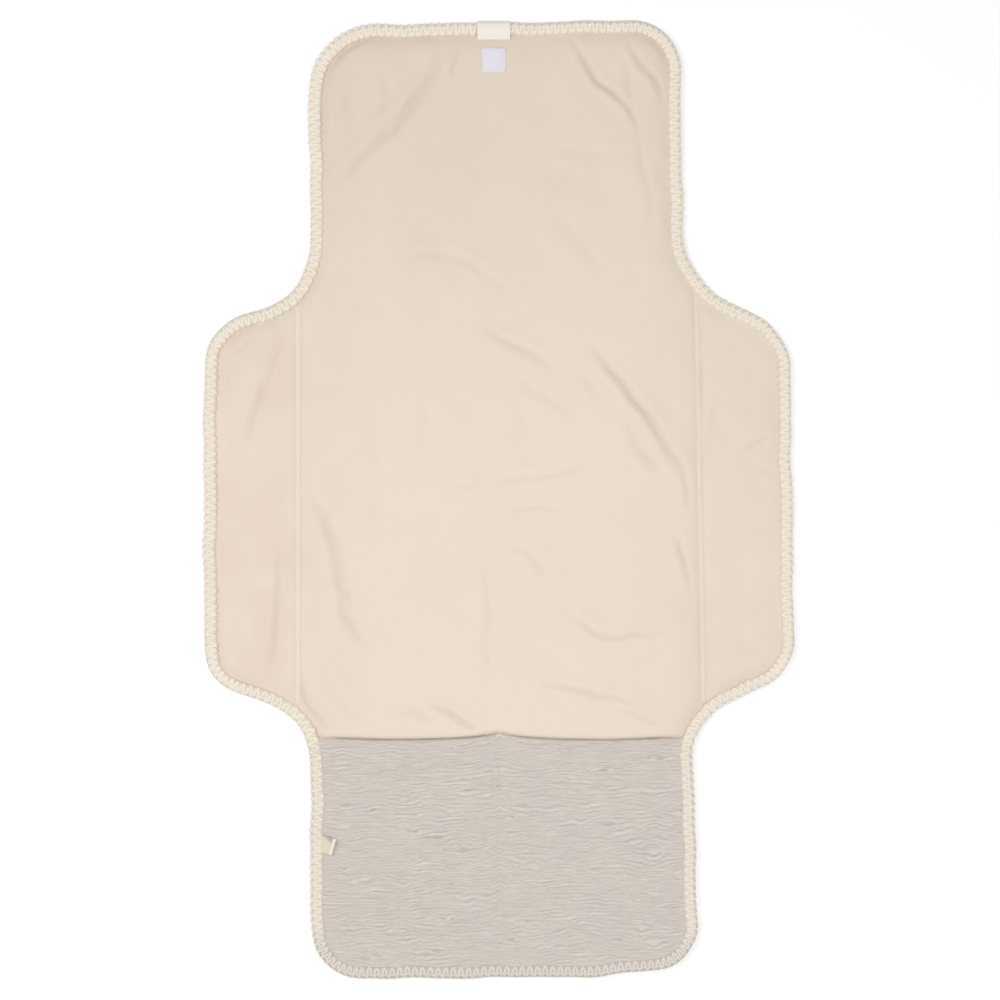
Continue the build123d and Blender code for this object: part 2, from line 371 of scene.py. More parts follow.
# Painted shadow inside the tab's folded loop.
shade_by_attribute(tab_finish, "inside", rgb(176, 158, 140), 1.0)
# Painted highlight on the tab's turned-back end.
shade_by_attribute(tab_finish, "lip", rgb(230, 221, 212), 1.0)
loop_finish = cloth_finish("loop pile", rgb(222, 219, 228), rgb(214, 211, 223), 150.0, spun_yarn, 1500.0,
                           0.08, 0.0003, 0.9, 0.3)
hook_finish = cloth_finish("hook tape", rgb(232, 230, 233), rgb(224, 221, 226), 200.0, woven_grain, 1500.0,
                           0.08, 0.0001, 0.5, 0.0)
thread_finish = cloth_finish("sewing thread", rgb(222, 210, 195), rgb(218, 205, 190), 80.0, spun_yarn, 2500.0,
                             0.08, 0.0001, 0.6, 0.1)
muslin_thread = cloth_finish("muslin thread", rgb(217, 209, 202), rgb(211, 203, 197), 80.0, spun_yarn, 2500.0,
                             0.08, 0.0001, 0.7, 0.1)
patch_thread = cloth_finish("patch thread", rgb(230, 227, 231), rgb(224, 221, 226), 80.0, spun_yarn, 2500.0,
                            0.08, 0.0001, 0.6, 0.1)
print(len(bpy.data.materials), "finishes")

# %% [markdown]
# ## The outline
# The pad's outline is a polygon with rounded corners, walked at an even step. Everything
# that follows the edge, such as the raw edges of the cloth, the binding and its yarn, is
# placed by how far along this line and how far in from it it lies. A hand-sewn edge is never
# quite straight, so the line also sways by half a millimetre.

# %% Corners of the outline: x, y and the radius of the rounding, in millimetres
corners = [
    (-161.0, 396.5, 58.0),
    (-40.0, 399.6, 200.0),
    (153.3, 402.5, 40.0),
    (156.5, 181.0, 72.0),
    (246.0, 141.5, 50.0),
    (249.5, -147.0, 41.0),
    (163.5, -186.5, 47.0),
    (169.5, -393.5, 40.0),
    (78.0, -402.5, 160.0),
    (-158.5, -404.5, 46.0),
    (-158.5, -186.5, 50.0),
    (-248.0, -155.0, 44.0),
    (-248.3, 146.0, 50.0),
    (-158.0, 171.0, 58.0),
]
edge_step = 1.0
edge_inset = 0.6                 # the line runs down the middle of the outermost yarn
arc_points = 25
# The sway of a hand-sewn edge: size, waves round the pad and start of each part.
sway_parts = ((0.45, 23, 0.0), (0.35, 41, 1.3), (0.2, 67, 0.0))


def rounded_outline(corner_list, step):
    """Evenly spaced points along a closed outline whose corners are arcs."""
    arcs = []
    for index, (x, y, radius) in enumerate(corner_list):
        here = np.array((x, y))
        back = np.array(corner_list[index - 1][:2]) - here
        ahead = np.array(corner_list[(index + 1) % len(corner_list)][:2]) - here
        back = back / np.linalg.norm(back)
        ahead = ahead / np.linalg.norm(ahead)
        half_angle = math.acos(np.clip(back @ ahead, -1, 1)) / 2
        reach = radius / math.tan(half_angle)
        bisector = (back + ahead) / np.linalg.norm(back + ahead)
        middle = here + bisector * radius / math.sin(half_angle)
        first, last = here + back * reach - middle, here + ahead * reach - middle
        start = math.atan2(first[1], first[0])
        sweep = (math.atan2(last[1], last[0]) - start + math.pi) % math.tau - math.pi
        angles = start + sweep * np.linspace(0, 1, arc_points)
        arcs.append(middle + radius * np.column_stack((np.cos(angles), np.sin(angles))))
    path = np.concatenate(arcs + [arcs[0][:1]])
    along = np.concatenate([[0], np.cumsum(np.linalg.norm(np.diff(path, axis=0), axis=1))])
    count = round(along[-1] / step)
    places = np.arange(count) * along[-1] / count
    return np.column_stack([np.interp(places, along, path[:, axis]) for axis in (0, 1)]), along[-1]


edge, edge_length = rounded_outline(corners, edge_step)
tangent = np.roll(edge, -1, axis=0) - np.roll(edge, 1, axis=0)
tangent = tangent / np.linalg.norm(tangent, axis=1)[:, None]
inward = np.column_stack((tangent[:, 1], -tangent[:, 0]))
round_turns = np.arange(len(edge)) / len(edge) * math.tau
sway = sum(size * np.sin(waves * round_turns + start) for size, waves, start in sway_parts)
edge = edge + inward * (sway[:, None] + edge_inset)
print("outline", round(edge_length), "mm round")

edge_tree = KDTree(len(edge))
for index, point in enumerate(edge):
    edge_tree.insert((point[0], point[1], 0), index)
edge_tree.balance()


def from_edge(x, y):
    """How far each point inside the pad is from its edge, in millimetres."""
    return np.array([edge_tree.find((px, py, 0))[2] for px, py in zip(x, y)])


def within_edge(x, y):
    """The same distance, but negative outside the pad."""
    nearest = np.array([edge_tree.find((px, py, 0))[1] for px, py in zip(x, y)])
    offset = np.column_stack((x, y)) - edge[nearest]
    side = np.where((offset * inward[nearest]).sum(axis=1) > 0, 1, -1)
    return side * np.linalg.norm(offset, axis=1)


# %% [markdown]
# ## Soft random heights
# Wrinkles and crinkles need noise that is smooth and the same each time. A table of random
# numbers with a fixed seed, smoothly joined, gives hills and hollows one unit apart.


# %% Smooth noise and easing
noise_size = 256


def ease(share):
    """0 below 0, 1 above 1 and a smooth S between."""
    share = np.clip(share, 0, 1)
    return share * share * (3 - 2 * share)


def hills(u, v, seed):
    """Smooth random heights from -1 to 1, with one hill or hollow per unit of u and v."""
    table = np.random.default_rng(seed).uniform(-1, 1, (noise_size, noise_size))
    u_low, v_low = np.floor(u).astype(int), np.floor(v).astype(int)
    u_part, v_part = ease(u - u_low), ease(v - v_low)
    left, right = u_low % noise_size, (u_low + 1) % noise_size
    low, high = v_low % noise_size, (v_low + 1) % noise_size
    near = table[left, low] * (1 - u_part) + table[right, low] * u_part
    far = table[left, high] * (1 - u_part) + table[right, high] * u_part
    return near * (1 - v_part) + far * v_part


# %% [markdown]
# ## Cutting cloth
# Each panel of cloth starts as the whole outline, a single flat face. Straight cuts trim it
# to its panel, and evenly spaced cuts then divide it, as a draper would rule a grid, so that
# it can be shaped into folds. Closer cuts go where the cloth has to bend at a fold.


# %% Cut a flat sheet
weld_gap = 0.2       # millimetres: corners of the grid closer than this become one


def begin(obj, name):
    """Name a new primitive and go into edit mode with all of it selected."""
    obj.name = name
    obj.data.name = name
    bpy.ops.object.mode_set(mode="EDIT")
    bpy.ops.mesh.select_all(action="SELECT")


def cut(place, normal, keep=None):
    """One straight cut through the piece in edit mode. keep="front" drops what is behind it."""
    bpy.ops.mesh.select_all(action="SELECT")
    bpy.ops.mesh.bisect(plane_co=place, plane_no=normal, clear_inner=keep == "front",
                        clear_outer=keep == "back")


def spaced(low, high, step):
    """Evenly spaced places strictly between two limits."""
    count = max(1, round((high - low) / step))
    return list(np.linspace(low, high, count + 1)[1:-1])


def cut_sheet(name, inset, x_range, y_range, x_step, y_step, extra_x=(), extra_y=(), slants=()):
    """A flat sheet inside the outline, trimmed to a rectangle and ruled into a grid."""
    rim = (edge + inward * inset)[::-2]
    bpy.ops.object.select_all(action="DESELECT")
    bpy.ops.mesh.primitive_circle_add(vertices=len(rim), fill_type="NGON")
    sheet = bpy.context.object
    flat = np.column_stack((rim * MM, np.zeros(len(rim))))
    sheet.data.vertices.foreach_set("co", flat.ravel())
    begin(sheet, name)
    for limit, normal in ((x_range[0], (1, 0, 0)), (x_range[1], (-1, 0, 0))):
        if limit is not None:
            cut((limit * MM, 0, 0), normal, keep="front")
    for limit, normal in ((y_range[0], (0, 1, 0)), (y_range[1], (0, -1, 0))):
        if limit is not None:
            cut((0, limit * MM, 0), normal, keep="front")
    for place, normal in slants:
        cut((place[0] * MM, place[1] * MM, 0), normal, keep="front")
    bpy.ops.object.mode_set(mode="OBJECT")
    corner = np.array([vertex.co for vertex in sheet.data.vertices]) / MM
    low, high = corner.min(axis=0), corner.max(axis=0)
    bpy.ops.object.mode_set(mode="EDIT")
    for y in spaced(low[1], high[1], y_step) + [y for y in extra_y if low[1] < y < high[1]]:
        cut((0, y * MM, 0), (0, 1, 0))
    for x in spaced(low[0], high[0], x_step) + [x for x in extra_x if low[0] < x < high[0]]:
        cut((x * MM, 0, 0), (1, 0, 0))
    bpy.ops.mesh.select_all(action="SELECT")
    bpy.ops.mesh.remove_doubles(threshold=weld_gap * MM)
    bpy.ops.object.mode_set(mode="OBJECT")
    return sheet


def get_points(piece):
    """A piece's vertices in millimetres."""
    points = np.zeros(len(piece.data.vertices) * 3)
    piece.data.vertices.foreach_get("co", points)
    return points.reshape(-1, 3) / MM


def set_points(piece, points):
    """Move a piece's vertices to places given in millimetres."""
    piece.data.vertices.foreach_set("co", (points * MM).ravel())
    piece.data.update()


def select_only(piece):
    """Select one piece and nothing else, for the operator that comes next."""
    bpy.ops.object.select_all(action="DESELECT")
    piece.select_set(True)
    bpy.context.view_layer.objects.active = piece


def thicken(piece, thickness):
    """Give a sheet its thickness, away from its faces' outer side."""
    solid = piece.modifiers.new("cloth thickness", "SOLIDIFY")
    solid.thickness = thickness * MM
    solid.offset = -1.0
    solid.use_even_offset = False
    select_only(piece)
    bpy.ops.object.modifier_apply(modifier=solid.name)


def smooth(piece, degrees=45):
    """Shade a piece smooth, with sharp edges where it turns by more than an angle."""
    select_only(piece)
    bpy.ops.object.shade_smooth_by_angle(angle=math.radians(degrees))


def paint(piece, material):
    """Give a piece its finish."""
    piece.data.materials.clear()
    piece.data.materials.append(material)


def mark(piece, name, values):
    """Store one number per vertex on the piece, for its finish to read."""
    attribute = piece.data.attributes.new(name, "FLOAT", "POINT")
    attribute.data.foreach_set("value", values.astype(np.float32))


# %% [markdown]
# ## The shape of the lining
# The lining lies over batting in the middle panel, so it rises from the sewn edge like a
# shallow pillow, and it dips again into the two seams that the wings turn on. The wings have
# no batting and stay flat. On top come the soft folds that lying on a table leaves in it:
# each is a line of a few points, a width and a height, fading out at both its ends.

# %% Levels of the cloth, in millimetres above the table
binding_width = 11.5
under_binding = 1.0              # the lining starts to rise this far under the binding
lining_edge = 2.5
pad_rise = 3.0
pad_shoulder = 17.0              # how far in from the edge or a seam the padding is full
wing_rise = 0.5
wing_shoulder = 12.0
mouth_end = pocket_fold + 3.0    # where the padding has come down, just above the pocket mouth
mouth_shoulder = 5.0
right_seam, left_seam = 169.0, 168.4
seam_lean = 0.018                # the right seam leans out towards the foot
# The lining's unevenness: height, length in x, length in y and seed of each layer of hills.
uneven_layers = ((0.7, 43, 57, 3), (0.45, 17, 21, 4), (0.15, 8, 9, 6))

# The creases of the lining: points, width and depth. The cloth swells on the right-hand side
# of the way each line runs, and turns down sharply into the crease.
creases = [
    ([(-46, 384), (-54, 354), (-70, 332), (-90, 308), (-112, 285), (-136, 262)], 6.5, 2.9),
    ([(-28, 386), (-36, 364), (-40, 352)], 4.0, 1.2),
    ([(60, 388), (72, 368), (82, 352), (96, 340), (110, 326), (119, 308)], 4.5, 2.3),
    ([(117, 316), (121, 280), (128, 246), (131, 222)], 5.0, 0.9),
    ([(106, 389), (119, 366), (133, 350), (139, 330)], 4.5, 1.8),
    ([(104, 382), (110, 350), (114, 318)], 5.0, 0.9),
    ([(-98, 389), (-114, 384), (-131, 373), (-144, 358)], 4.0, 2.6),
    ([(-116, 352), (-124, 328), (-120, 304)], 9.0, 1.5),
    ([(-96, 356), (-92, 338), (-104, 318)], 6.0, 1.2),
    ([(9, 168), (0, 178), (-30, 200), (-62, 205), (-84, 202)], 6.0, 0.8),
    ([(50, 252), (62, 222), (80, 204), (90, 190)], 7.0, 0.7),
    ([(40, 296), (66, 292), (92, 286)], 8.0, 0.6),
    ([(-34, 320), (-38, 296), (-16, 276)], 7.0, 0.5),
    ([(77, 128), (90, 113), (104, 97), (118, 79), (132, 59), (146, 37), (157, 20)], 5.5, 3.0),
    ([(66, 112), (76, 96), (90, 72)], 6.0, 0.9),
    ([(104, 70), (118, 45), (136, 22)], 6.0, 1.3),
    ([(-16, 148), (8, 131), (34, 119), (50, 104)], 5.5, 1.4),
    ([(14, 104), (40, 84), (68, 68)], 6.0, 1.0),
    ([(24, 74), (16, 56), (12, 40)], 5.0, 0.7),
    ([(80, 30), (60, 24), (36, 17), (6, 15), (-12, -2)], 5.0, 1.1),
    ([(50, -9), (30, -7), (4, -12)], 4.5, 0.8),
    ([(8, -38), (24, -46), (36, -60), (46, -70)], 4.5, 1.0),
    ([(70, -56), (56, -60), (42, -68)], 4.5, 0.7),
    ([(64, -20), (52, -30), (40, -40)], 5.0, 0.6),
    ([(146, -112), (120, -115), (98, -117), (84, -114), (68, -105), (52, -91)], 4.5, 1.6),
    ([(130, -180), (104, -170), (80, -165), (56, -160), (26, -154)], 4.2, 1.6),
    ([(146, -191), (126, -187), (104, -176), (84, -172)], 5.0, 1.1),
    ([(-166, 10), (-151, -4), (-140, -24), (-133, -56), (-127, -88), (-118, -114), (-104, -134)],
     7.5, 2.6),
    ([(-124, 126), (-134, 96), (-140, 70), (-147, 48)], 7.0, 0.9),
    ([(-104, 82), (-106, 52), (-98, 24), (-104, 0), (-100, -28), (-88, -58)], 7.5, 0.9),
    ([(-56, 92), (-62, 64), (-60, 34)], 6.5, 0.8),
    ([(-48, -14), (-62, -44), (-72, -72)], 6.0, 0.8),
    ([(-44, -76), (-64, -74), (-84, -78)], 5.0, 0.7),
    ([(-18, -40), (-12, -66), (-8, -96), (-9, -130), (-6, -158)], 5.5, 1.0),
    ([(-12, 22), (-24, 12), (-40, 16)], 5.0, 0.6),
    ([(-16, -197), (-30, -188), (-46, -178), (-60, -172)], 4.0, 2.0),
    ([(-52, -186), (-70, -181), (-92, -178)], 6.5, 1.5),
    ([(-104, -186), (-122, -178), (-140, -160), (-152, -132)], 7.0, 1.2),
    ([(-138, -197), (-150, -188), (-164, -170), (-167, -150)], 4.5, 1.7),
    ([(150, -30), (155, -52), (161, -78)], 4.0, 1.4),
    ([(152, 30), (158, 8), (160, -14)], 4.0, 0.9),
    ([(-176, 146), (-188, 114), (-198, 86), (-206, 62), (-213, 38)], 5.5, 1.9),
    ([(-198, 143), (-212, 128), (-226, 117)], 4.5, 1.0),
    ([(-222, 108), (-228, 96), (-235, 78)], 3.5, 1.0),
    ([(-206, 62), (-218, 50), (-234, 34)], 5.5, 0.9),
    ([(-183, -34), (-184, -76), (-187, -116), (-191, -154)], 4.5, 1.6),
    ([(-206, -84), (-216, -100), (-212, -124)], 6.0, 0.6),
    ([(-234, -14), (-222, -30), (-216, -52)], 6.0, 0.6),
    ([(228, 56), (214, 46), (202, 42)], 4.0, 1.1),
    ([(240, 17), (228, 21), (214, 26)], 4.5, 1.0),
    ([(238, -20), (228, -25), (216, -28)], 4.5, 0.8),
    ([(184, 88), (182, 66), (174, 38)], 5.0, 0.8),
    ([(174, 128), (171, 100), (172, 70)], 3.5, 0.9),
    ([(216, 100), (210, 84), (214, 66)], 6.0, 0.5),
    ([(198, -112), (206, -122), (220, -128)], 6.0, 0.6),
]

crease_breadth = 1.2
line_points = 14                 # steps between two points of a crease
# Across a crease, in shares of its width and depth.
swell_height, swell_place, swell_breadth = 0.6, 1.15, 0.8
lip_height, lip_place, lip_breadth = 0.22, 0.85, 0.5
valley_depth, valley_soft_side, valley_far_side = 0.85, 0.6, 0.48

# Where the lining is drawn down beside the binding: place, reach and depth.
gutters = [
    ((-128, 374), 46, 0.9), ((-88, 388), 40, 0.5), ((-152, 320), 60, 0.45), ((138, 374), 30, 0.8),
    ((-204, 152), 36, 1.0), ((-234, 112), 40, 0.8), ((-234, -118), 44, 1.0), ((-214, -148), 20, 0.8),
    ((204, -156), 34, 1.1), ((238, 40), 110, 0.4), ((-154, -190), 24, 0.9), ((156, -184), 24, 0.7),
    ((-238, 0), 60, 0.3), ((-170, 176), 34, 0.4),
]


def smooth_line(points, count):
    """A smooth curve through a few points, as evenly counted points."""
    points = np.array(points, float)
    if len(points) == 2:
        points = np.array([points[0], points.mean(axis=0), points[1]])
    padded = np.concatenate([2 * points[:1] - points[1:2], points, 2 * points[-1:] - points[-2:-1]])
    pieces = []
    share = np.linspace(0, 1, count, endpoint=False)[:, None]
    for before, start, end, after in zip(padded, padded[1:], padded[2:], padded[3:]):
        pieces.append(0.5 * (2 * start + (end - before) * share
                             + (2 * before - 5 * start + 4 * end - after) * share ** 2
                             + (3 * start - before - 3 * end + after) * share ** 3))
    return np.concatenate(pieces + [points[-1:]])


def crease_height(x, y, points, width, depth):
    """One crease: a swell on its soft side, a narrow valley and a low lip beyond it."""
    line = smooth_line(points, line_points)
    heading = np.gradient(line, axis=0)
    heading = heading / np.linalg.norm(heading, axis=1)[:, None]
    width = width * crease_breadth
    result = np.zeros(len(x))
    reach = 5 * width
    near = ((x > line[:, 0].min() - reach) & (x < line[:, 0].max() + reach)
            & (y > line[:, 1].min() - reach) & (y < line[:, 1].max() + reach))
    offset = np.column_stack((x[near], y[near]))[:, None] - line[None]
    nearest = (offset ** 2).sum(axis=2).argmin(axis=1)
    gap = offset[np.arange(len(nearest)), nearest]
    soft = gap[:, 0] * heading[nearest, 1] - gap[:, 1] * heading[nearest, 0]
    soft = soft + 0.22 * width * hills(x[near] / 14, y[near] / 14, 8)
    beyond = np.abs((gap * heading[nearest]).sum(axis=1))
    fade = np.sin(math.pi * (nearest + 0.5) / len(line)) ** 0.7 * np.exp(-(beyond / width) ** 2)
    swell = swell_height * np.exp(-((soft - swell_place * width) / (swell_breadth * width)) ** 2)
    valley_breadth = np.where(soft > 0, valley_soft_side * width, valley_far_side * width)
    valley = np.exp(-(soft / valley_breadth) ** 2)
    lip = lip_height * np.exp(-((soft + lip_place * width) / (lip_breadth * width)) ** 2)
    result[near] = depth * fade * (swell + lip - valley_depth * valley)
    return result


def seam_x(y, side):
    """Where a wing seam runs. The right one leans out a little towards the foot."""
    return np.where(side > 0, right_seam - seam_lean * y, -left_seam + 0 * y)


def mouth_line(x):
    """The pocket's mouth, seen from above: two shallow dips and a peak at the middle seam."""
    across = np.abs(x)
    dip = 2.4 * np.sin(np.clip((across - 8) / 150, 0, 1) * math.pi) ** 1.2
    peak = 3.6 * np.exp(-(across / 11.0) ** 1.3)
    return pocket_fold - 0.6 - dip + peak


def seam_gap(x, y):
    """How far a point is from the nearer wing seam, and whether it lies on a wing."""
    seam = np.abs(seam_x(y, np.sign(x)))
    return np.abs(np.abs(x) - seam), np.abs(x) > seam


def pillow_height(x, y, to_edge):
    """The lining before any fold: a shallow pillow in the middle, and flat wings."""
    to_seam, in_wing = seam_gap(x, y)
    to_mouth = np.clip(y - mouth_line(x) - 1.0, 0, None)
    inside = np.minimum(to_edge, to_seam)
    shoulder = np.sin(np.clip(inside / pad_shoulder, 0, 1) * math.pi / 2) ** 0.8
    shoulder = shoulder * np.sin(np.clip(to_mouth / mouth_shoulder, 0, 1) * math.pi / 2) ** 0.5
    on_wing = wing_rise * ease(inside / wing_shoulder)
    return lining_edge + np.where(in_wing, on_wing, pad_rise * shoulder)


def shown(inside):
    """How far a place is from where the lining comes out of the binding."""
    return np.clip(inside - binding_width + under_binding, 0, None)


# %% [markdown]
# ## Letting the lining settle
# Cloth sewn down round its edge is always a little larger than the space that it covers, so
# it buckles into soft waves that nobody draws. A cloth simulation finds them. A sheet that is
# held at the binding, the wing seams and the pocket mouth grows by one percent over the
# batting, and how far each of its points rises is kept as a table. The lining then takes a
# small share of it, because the batting under the real one lets it spread out again.

# %% Simulate the waves
settle_cell = 5.0         # millimetres between the sheet's points
settle_scale = 10.0       # the solver works best on a sheet some metres across
settle_low = np.array((-255.0, -205.0))
settle_count = np.array((102, 122))
settle_growth = 0.01
settle_frames = 16
settle_share = 0.13
start_waves = 1.4         # millimetres of unevenness that the sheet starts with
start_gap = 0.7           # and its height over the batting
contact_gap = 0.002       # metres, at the solver's scale


def settling_sheet(name, heights):
    """A grid over the pad, ten times life size, at the heights given by a function."""
    bpy.ops.object.select_all(action="DESELECT")
    columns, rows = (int(count) for count in settle_count)
    bpy.ops.mesh.primitive_grid_add(x_subdivisions=columns, y_subdivisions=rows)
    sheet = bpy.context.object
    sheet.name = name
    flat = np.array([vertex.co for vertex in sheet.data.vertices])
    column = np.rint((flat[:, 0] + 1) / 2 * columns).astype(int)
    row = np.rint((flat[:, 1] + 1) / 2 * rows).astype(int)
    x, y = settle_low[0] + column * settle_cell, settle_low[1] + row * settle_cell
    z = heights(x, y)
    set_points(sheet, np.column_stack((x, y, z)) * settle_scale)
    return sheet, column, row, x, y, z


def settle():
    """Grow the held sheet over the batting, and return how far its points rose."""
    def start(x, y):
        inside = within_edge(x, y)
        uneven = hills(x / 38, y / 38, 21) + 0.5 * hills(x / 17, y / 17, 22)
        return pillow_height(x, y, shown(inside)) + start_waves * np.clip(inside / 30, 0, 1) * uneven

    def batting_surface(x, y):
        return pillow_height(x, y, shown(within_edge(x, y))) - start_gap

    sheet, column, row, x, y, z = settling_sheet("settling_cloth", start)
    under = settling_sheet("settling_batting", batting_surface)[0]
    under.modifiers.new("collision", "COLLISION")
    under.collision.thickness_outer = contact_gap
    to_seam, _ = seam_gap(x, y)
    held = (within_edge(x, y) < binding_width + 1) | (to_seam < 3.0) | (y < mouth_end + 4)
    sewn = sheet.vertex_groups.new(name="sewn")
    sewn.add([int(index) for index in np.flatnonzero(held)], 1.0, "REPLACE")
    solver = sheet.modifiers.new("cloth", "CLOTH")
    solver.settings.vertex_group_mass = "sewn"
    solver.settings.quality = 6
    solver.settings.mass = 0.3
    solver.settings.tension_stiffness = 20
    solver.settings.compression_stiffness = 20
    solver.settings.shear_stiffness = 6
    solver.settings.bending_stiffness = 2.0
    solver.settings.shrink_min = -settle_growth
    solver.settings.shrink_max = -settle_growth
    solver.settings.effector_weights.gravity = 0.1
    solver.collision_settings.distance_min = contact_gap
    solver.point_cache.frame_end = settle_frames
    for frame_number in range(1, settle_frames + 1):
        bpy.context.scene.frame_set(frame_number)
    select_only(sheet)
    bpy.ops.object.modifier_apply(modifier="cloth")
    table = np.zeros(settle_count + 1)
    table[column, row] = np.where(held, 0, get_points(sheet)[:, 2] / settle_scale - z)
    bpy.context.scene.frame_set(1)
    bpy.data.objects.remove(sheet)
    bpy.data.objects.remove(under)
    return table


settled_table = settle()
print("the sheet rose", np.percentile(settled_table, (1, 50, 99)).round(2), "mm")


def settled(x, y):
    """How far the simulated sheet rose at each point."""
    column = np.clip((x - settle_low[0]) / settle_cell, 0, settle_count[0] - 0.001)
    row = np.clip((y - settle_low[1]) / settle_cell, 0, settle_count[1] - 0.001)
    left, low = column.astype(int), row.astype(int)
    across, up = ease(column - left), ease(row - low)
    lower = settled_table[left, low] * (1 - across) + settled_table[left + 1, low] * across
    upper = settled_table[left, low + 1] * (1 - across) + settled_table[left + 1, low + 1] * across
    return lower * (1 - up) + upper * up


# %% The height of the lining
shade_reach = 4.0        # a fold's shade compares it with the cloth this far round it
shade_turns = 6


def lining_height(x, y):
    """The lining's upper surface, in millimetres above the table."""
    to_edge = shown(from_edge(x, y))
    to_seam, in_wing = seam_gap(x, y)
    to_mouth = np.clip(y - mouth_line(x) - 1.0, 0, None)
    flat_height = pillow_height(x, y, to_edge)
    loose = ease(np.minimum(to_edge, to_seam + 3) / 8.0) * ease(to_mouth / 5.0)
    height = flat_height + settle_share * loose * settled(x, y)
    for points, width, depth in creases:
        height = height + crease_height(x, y, points, width, depth) * loose
    uneven = sum(size * hills(x / long, y / high, seed) for size, long, high, seed in uneven_layers)
    height = height + loose * uneven
    pucker = np.exp(-to_edge / 7.0) * ease(to_edge / 2.0) * ease(to_mouth / 6.0)
    height = height + 0.4 * pucker * hills(x / 7.5, y / 7.5, 5)
    for (gutter_x, gutter_y), reach, depth in gutters:
        close = np.exp(-((x - gutter_x) ** 2 + (y - gutter_y) ** 2) / reach ** 2)
        drawn = ease(to_edge / 11) - 1.3 * np.exp(-(to_edge / 3.5) ** 2)
        height = height + 1.3 * depth * close * drawn
    welt = 0.5 * np.exp(-(to_seam / 1.0) ** 2) - 0.3 * np.exp(-((to_seam - 2.6) / 1.3) ** 2)
    height = height + welt * ease(to_edge / 4.0) * ease(to_mouth / 4.0)
    lowest_wing = np.clip(flat_height - 0.7, 1.7, 2.3)
    lowest_middle = np.clip(flat_height - 0.8, 1.7, 3.05)
    lowest = np.where(in_wing, lowest_wing, lowest_middle)
    above = height - lowest
    return lowest + 0.5 * (above + np.hypot(above, 0.3))


def fold_shade(x, y):
    """How far the lining lies below the cloth round it: 1 in a sharp fold."""
    turns = np.arange(shade_turns) * math.tau / shade_turns
    around = [lining_height(x + shade_reach * math.cos(turn), y + shade_reach * math.sin(turn))
              for turn in turns]
    return ease((np.mean(around, axis=0) - lining_height(x, y) - 0.05) / 0.9)


# %% [markdown]
# ## The lining pieces
# On the real pad the lining is one cloth. Here it is cut where the panels are stiff, halfway
# between the folds, so that each piece holds one fold. The cuts meet exactly and
# don't show. Each piece is cloth 0.8 mm thick that lies on the batting.

# %% Make the lining
cut_line = (head_fold + middle_fold) / 2     # 100: halfway along the upper panel
bend = 13.0                                  # a fold's cloth bends this far on each side of it
fine = 1.6
cell = 1.9                                   # the lining's grid
cloth = 0.8
tucked = 6.5                                 # the raw edge lies this far in, inside the binding


def fold_cuts(line):
    """Closer cuts across a fold."""
    return list(np.arange(line - bend, line + bend + 0.1, fine))


# Closer cuts on both sides of each wing seam, whose welt and groove are narrow.
seam_cuts = [side * (wing_fold + step) for side in (-1, 1) for step in np.arange(-6, 12, 1.0)]


def seam_slant(side, keep_middle):
    """The cut along a wing seam that keeps the middle panel, or the wing."""
    top, bottom = float(seam_x(100.0, side)), float(seam_x(-100.0, side))
    along = Vector((top - bottom, 200.0, 0)).normalized()
    outward = Vector((along.y, -along.x, 0)) * (1 if side > 0 else -1)
    return ((top, 100.0), tuple(-outward if keep_middle else outward))


middle_slants = (seam_slant(1, True), seam_slant(-1, True))
# Pieces of the middle panel: y range, the two bodies and the fold line between them.
long_pieces = {
    "head": ((cut_line, None), "upper_panel", "head_panel", head_fold),
    "middle": ((-cut_line, cut_line), "upper_panel", "lower_panel", middle_fold),
    "foot": ((None, -cut_line), "lower_panel", "pocket_panel", pocket_fold),
}
# Wings: side, y range and the body that each turns on.
wings = {
    "upper_left_wing": (-1, (middle_fold, head_fold), "upper_panel"),
    "upper_right_wing": (1, (middle_fold, head_fold), "upper_panel"),
    "lower_left_wing": (-1, (pocket_fold, middle_fold), "lower_panel"),
    "lower_right_wing": (1, (pocket_fold, middle_fold), "lower_panel"),
}


def bend_long(piece):
    """Bake the piece's placement into its mesh; it is not bent at its fold."""
    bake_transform(piece)


def bend_wing(piece):
    """Bake the piece's placement into its mesh; it is not bent at its seam."""
    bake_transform(piece)


def flat_measures(piece):
    """A sheet's size in metres and its area in square metres, taken before it is shaped."""
    points = get_points(piece)
    size = points.max(axis=0) - points.min(axis=0)
    return (size[0] * MM, size[1] * MM), sum(face.area for face in piece.data.polygons)


def finish_lining(piece):
    """Raise a flat piece of lining into its creases, tint it and give it its thickness."""
    points = get_points(piece)
    points[:, 2] = lining_height(points[:, 0], points[:, 1])
    set_points(piece, points)
    x, y = points[:, 0], points[:, 1]
    # Painted shade: darker and pinker towards the sides and the head's left corner, where the light falls
    # off, in patches.
    at_sides = (0.7 + 0.25 * (x < -wing_fold)) * ease((np.abs(x) - 95) / 70)
    at_head = 0.6 * ease((y - 120) / 180) * ease((60 - x) / 120)
    patchy = ease(0.56 + 0.8 * hills(x / 33, y / 47, 31) + 0.5 * hills(x / 14, y / 17, 32))
    mark(piece, "painted_side_shade", np.clip(at_sides + at_head, 0, 1) * (0.35 + 0.65 * patchy))
    # Painted shade: darker towards the head end, where the lamps' light falls off.
    mark(piece, "painted_head_shade", 0.44 * ease((y + 20) / 420))
    # Painted shade: darker in the lining's fold valleys.
    mark(piece, "fold", 0.3 * fold_shade(x, y))
    # Painted highlight: paler along the wing seams' welts.
    to_seam, _ = seam_gap(x, y)
    inside = ease((from_edge(x, y) - binding_width) / 4.0)
    mark(piece, "welt", 0.45 * np.exp(-(to_seam / 1.1) ** 2) * inside)
    thicken(piece, cloth)
    smooth(piece)
    paint(piece, lining_cloth)


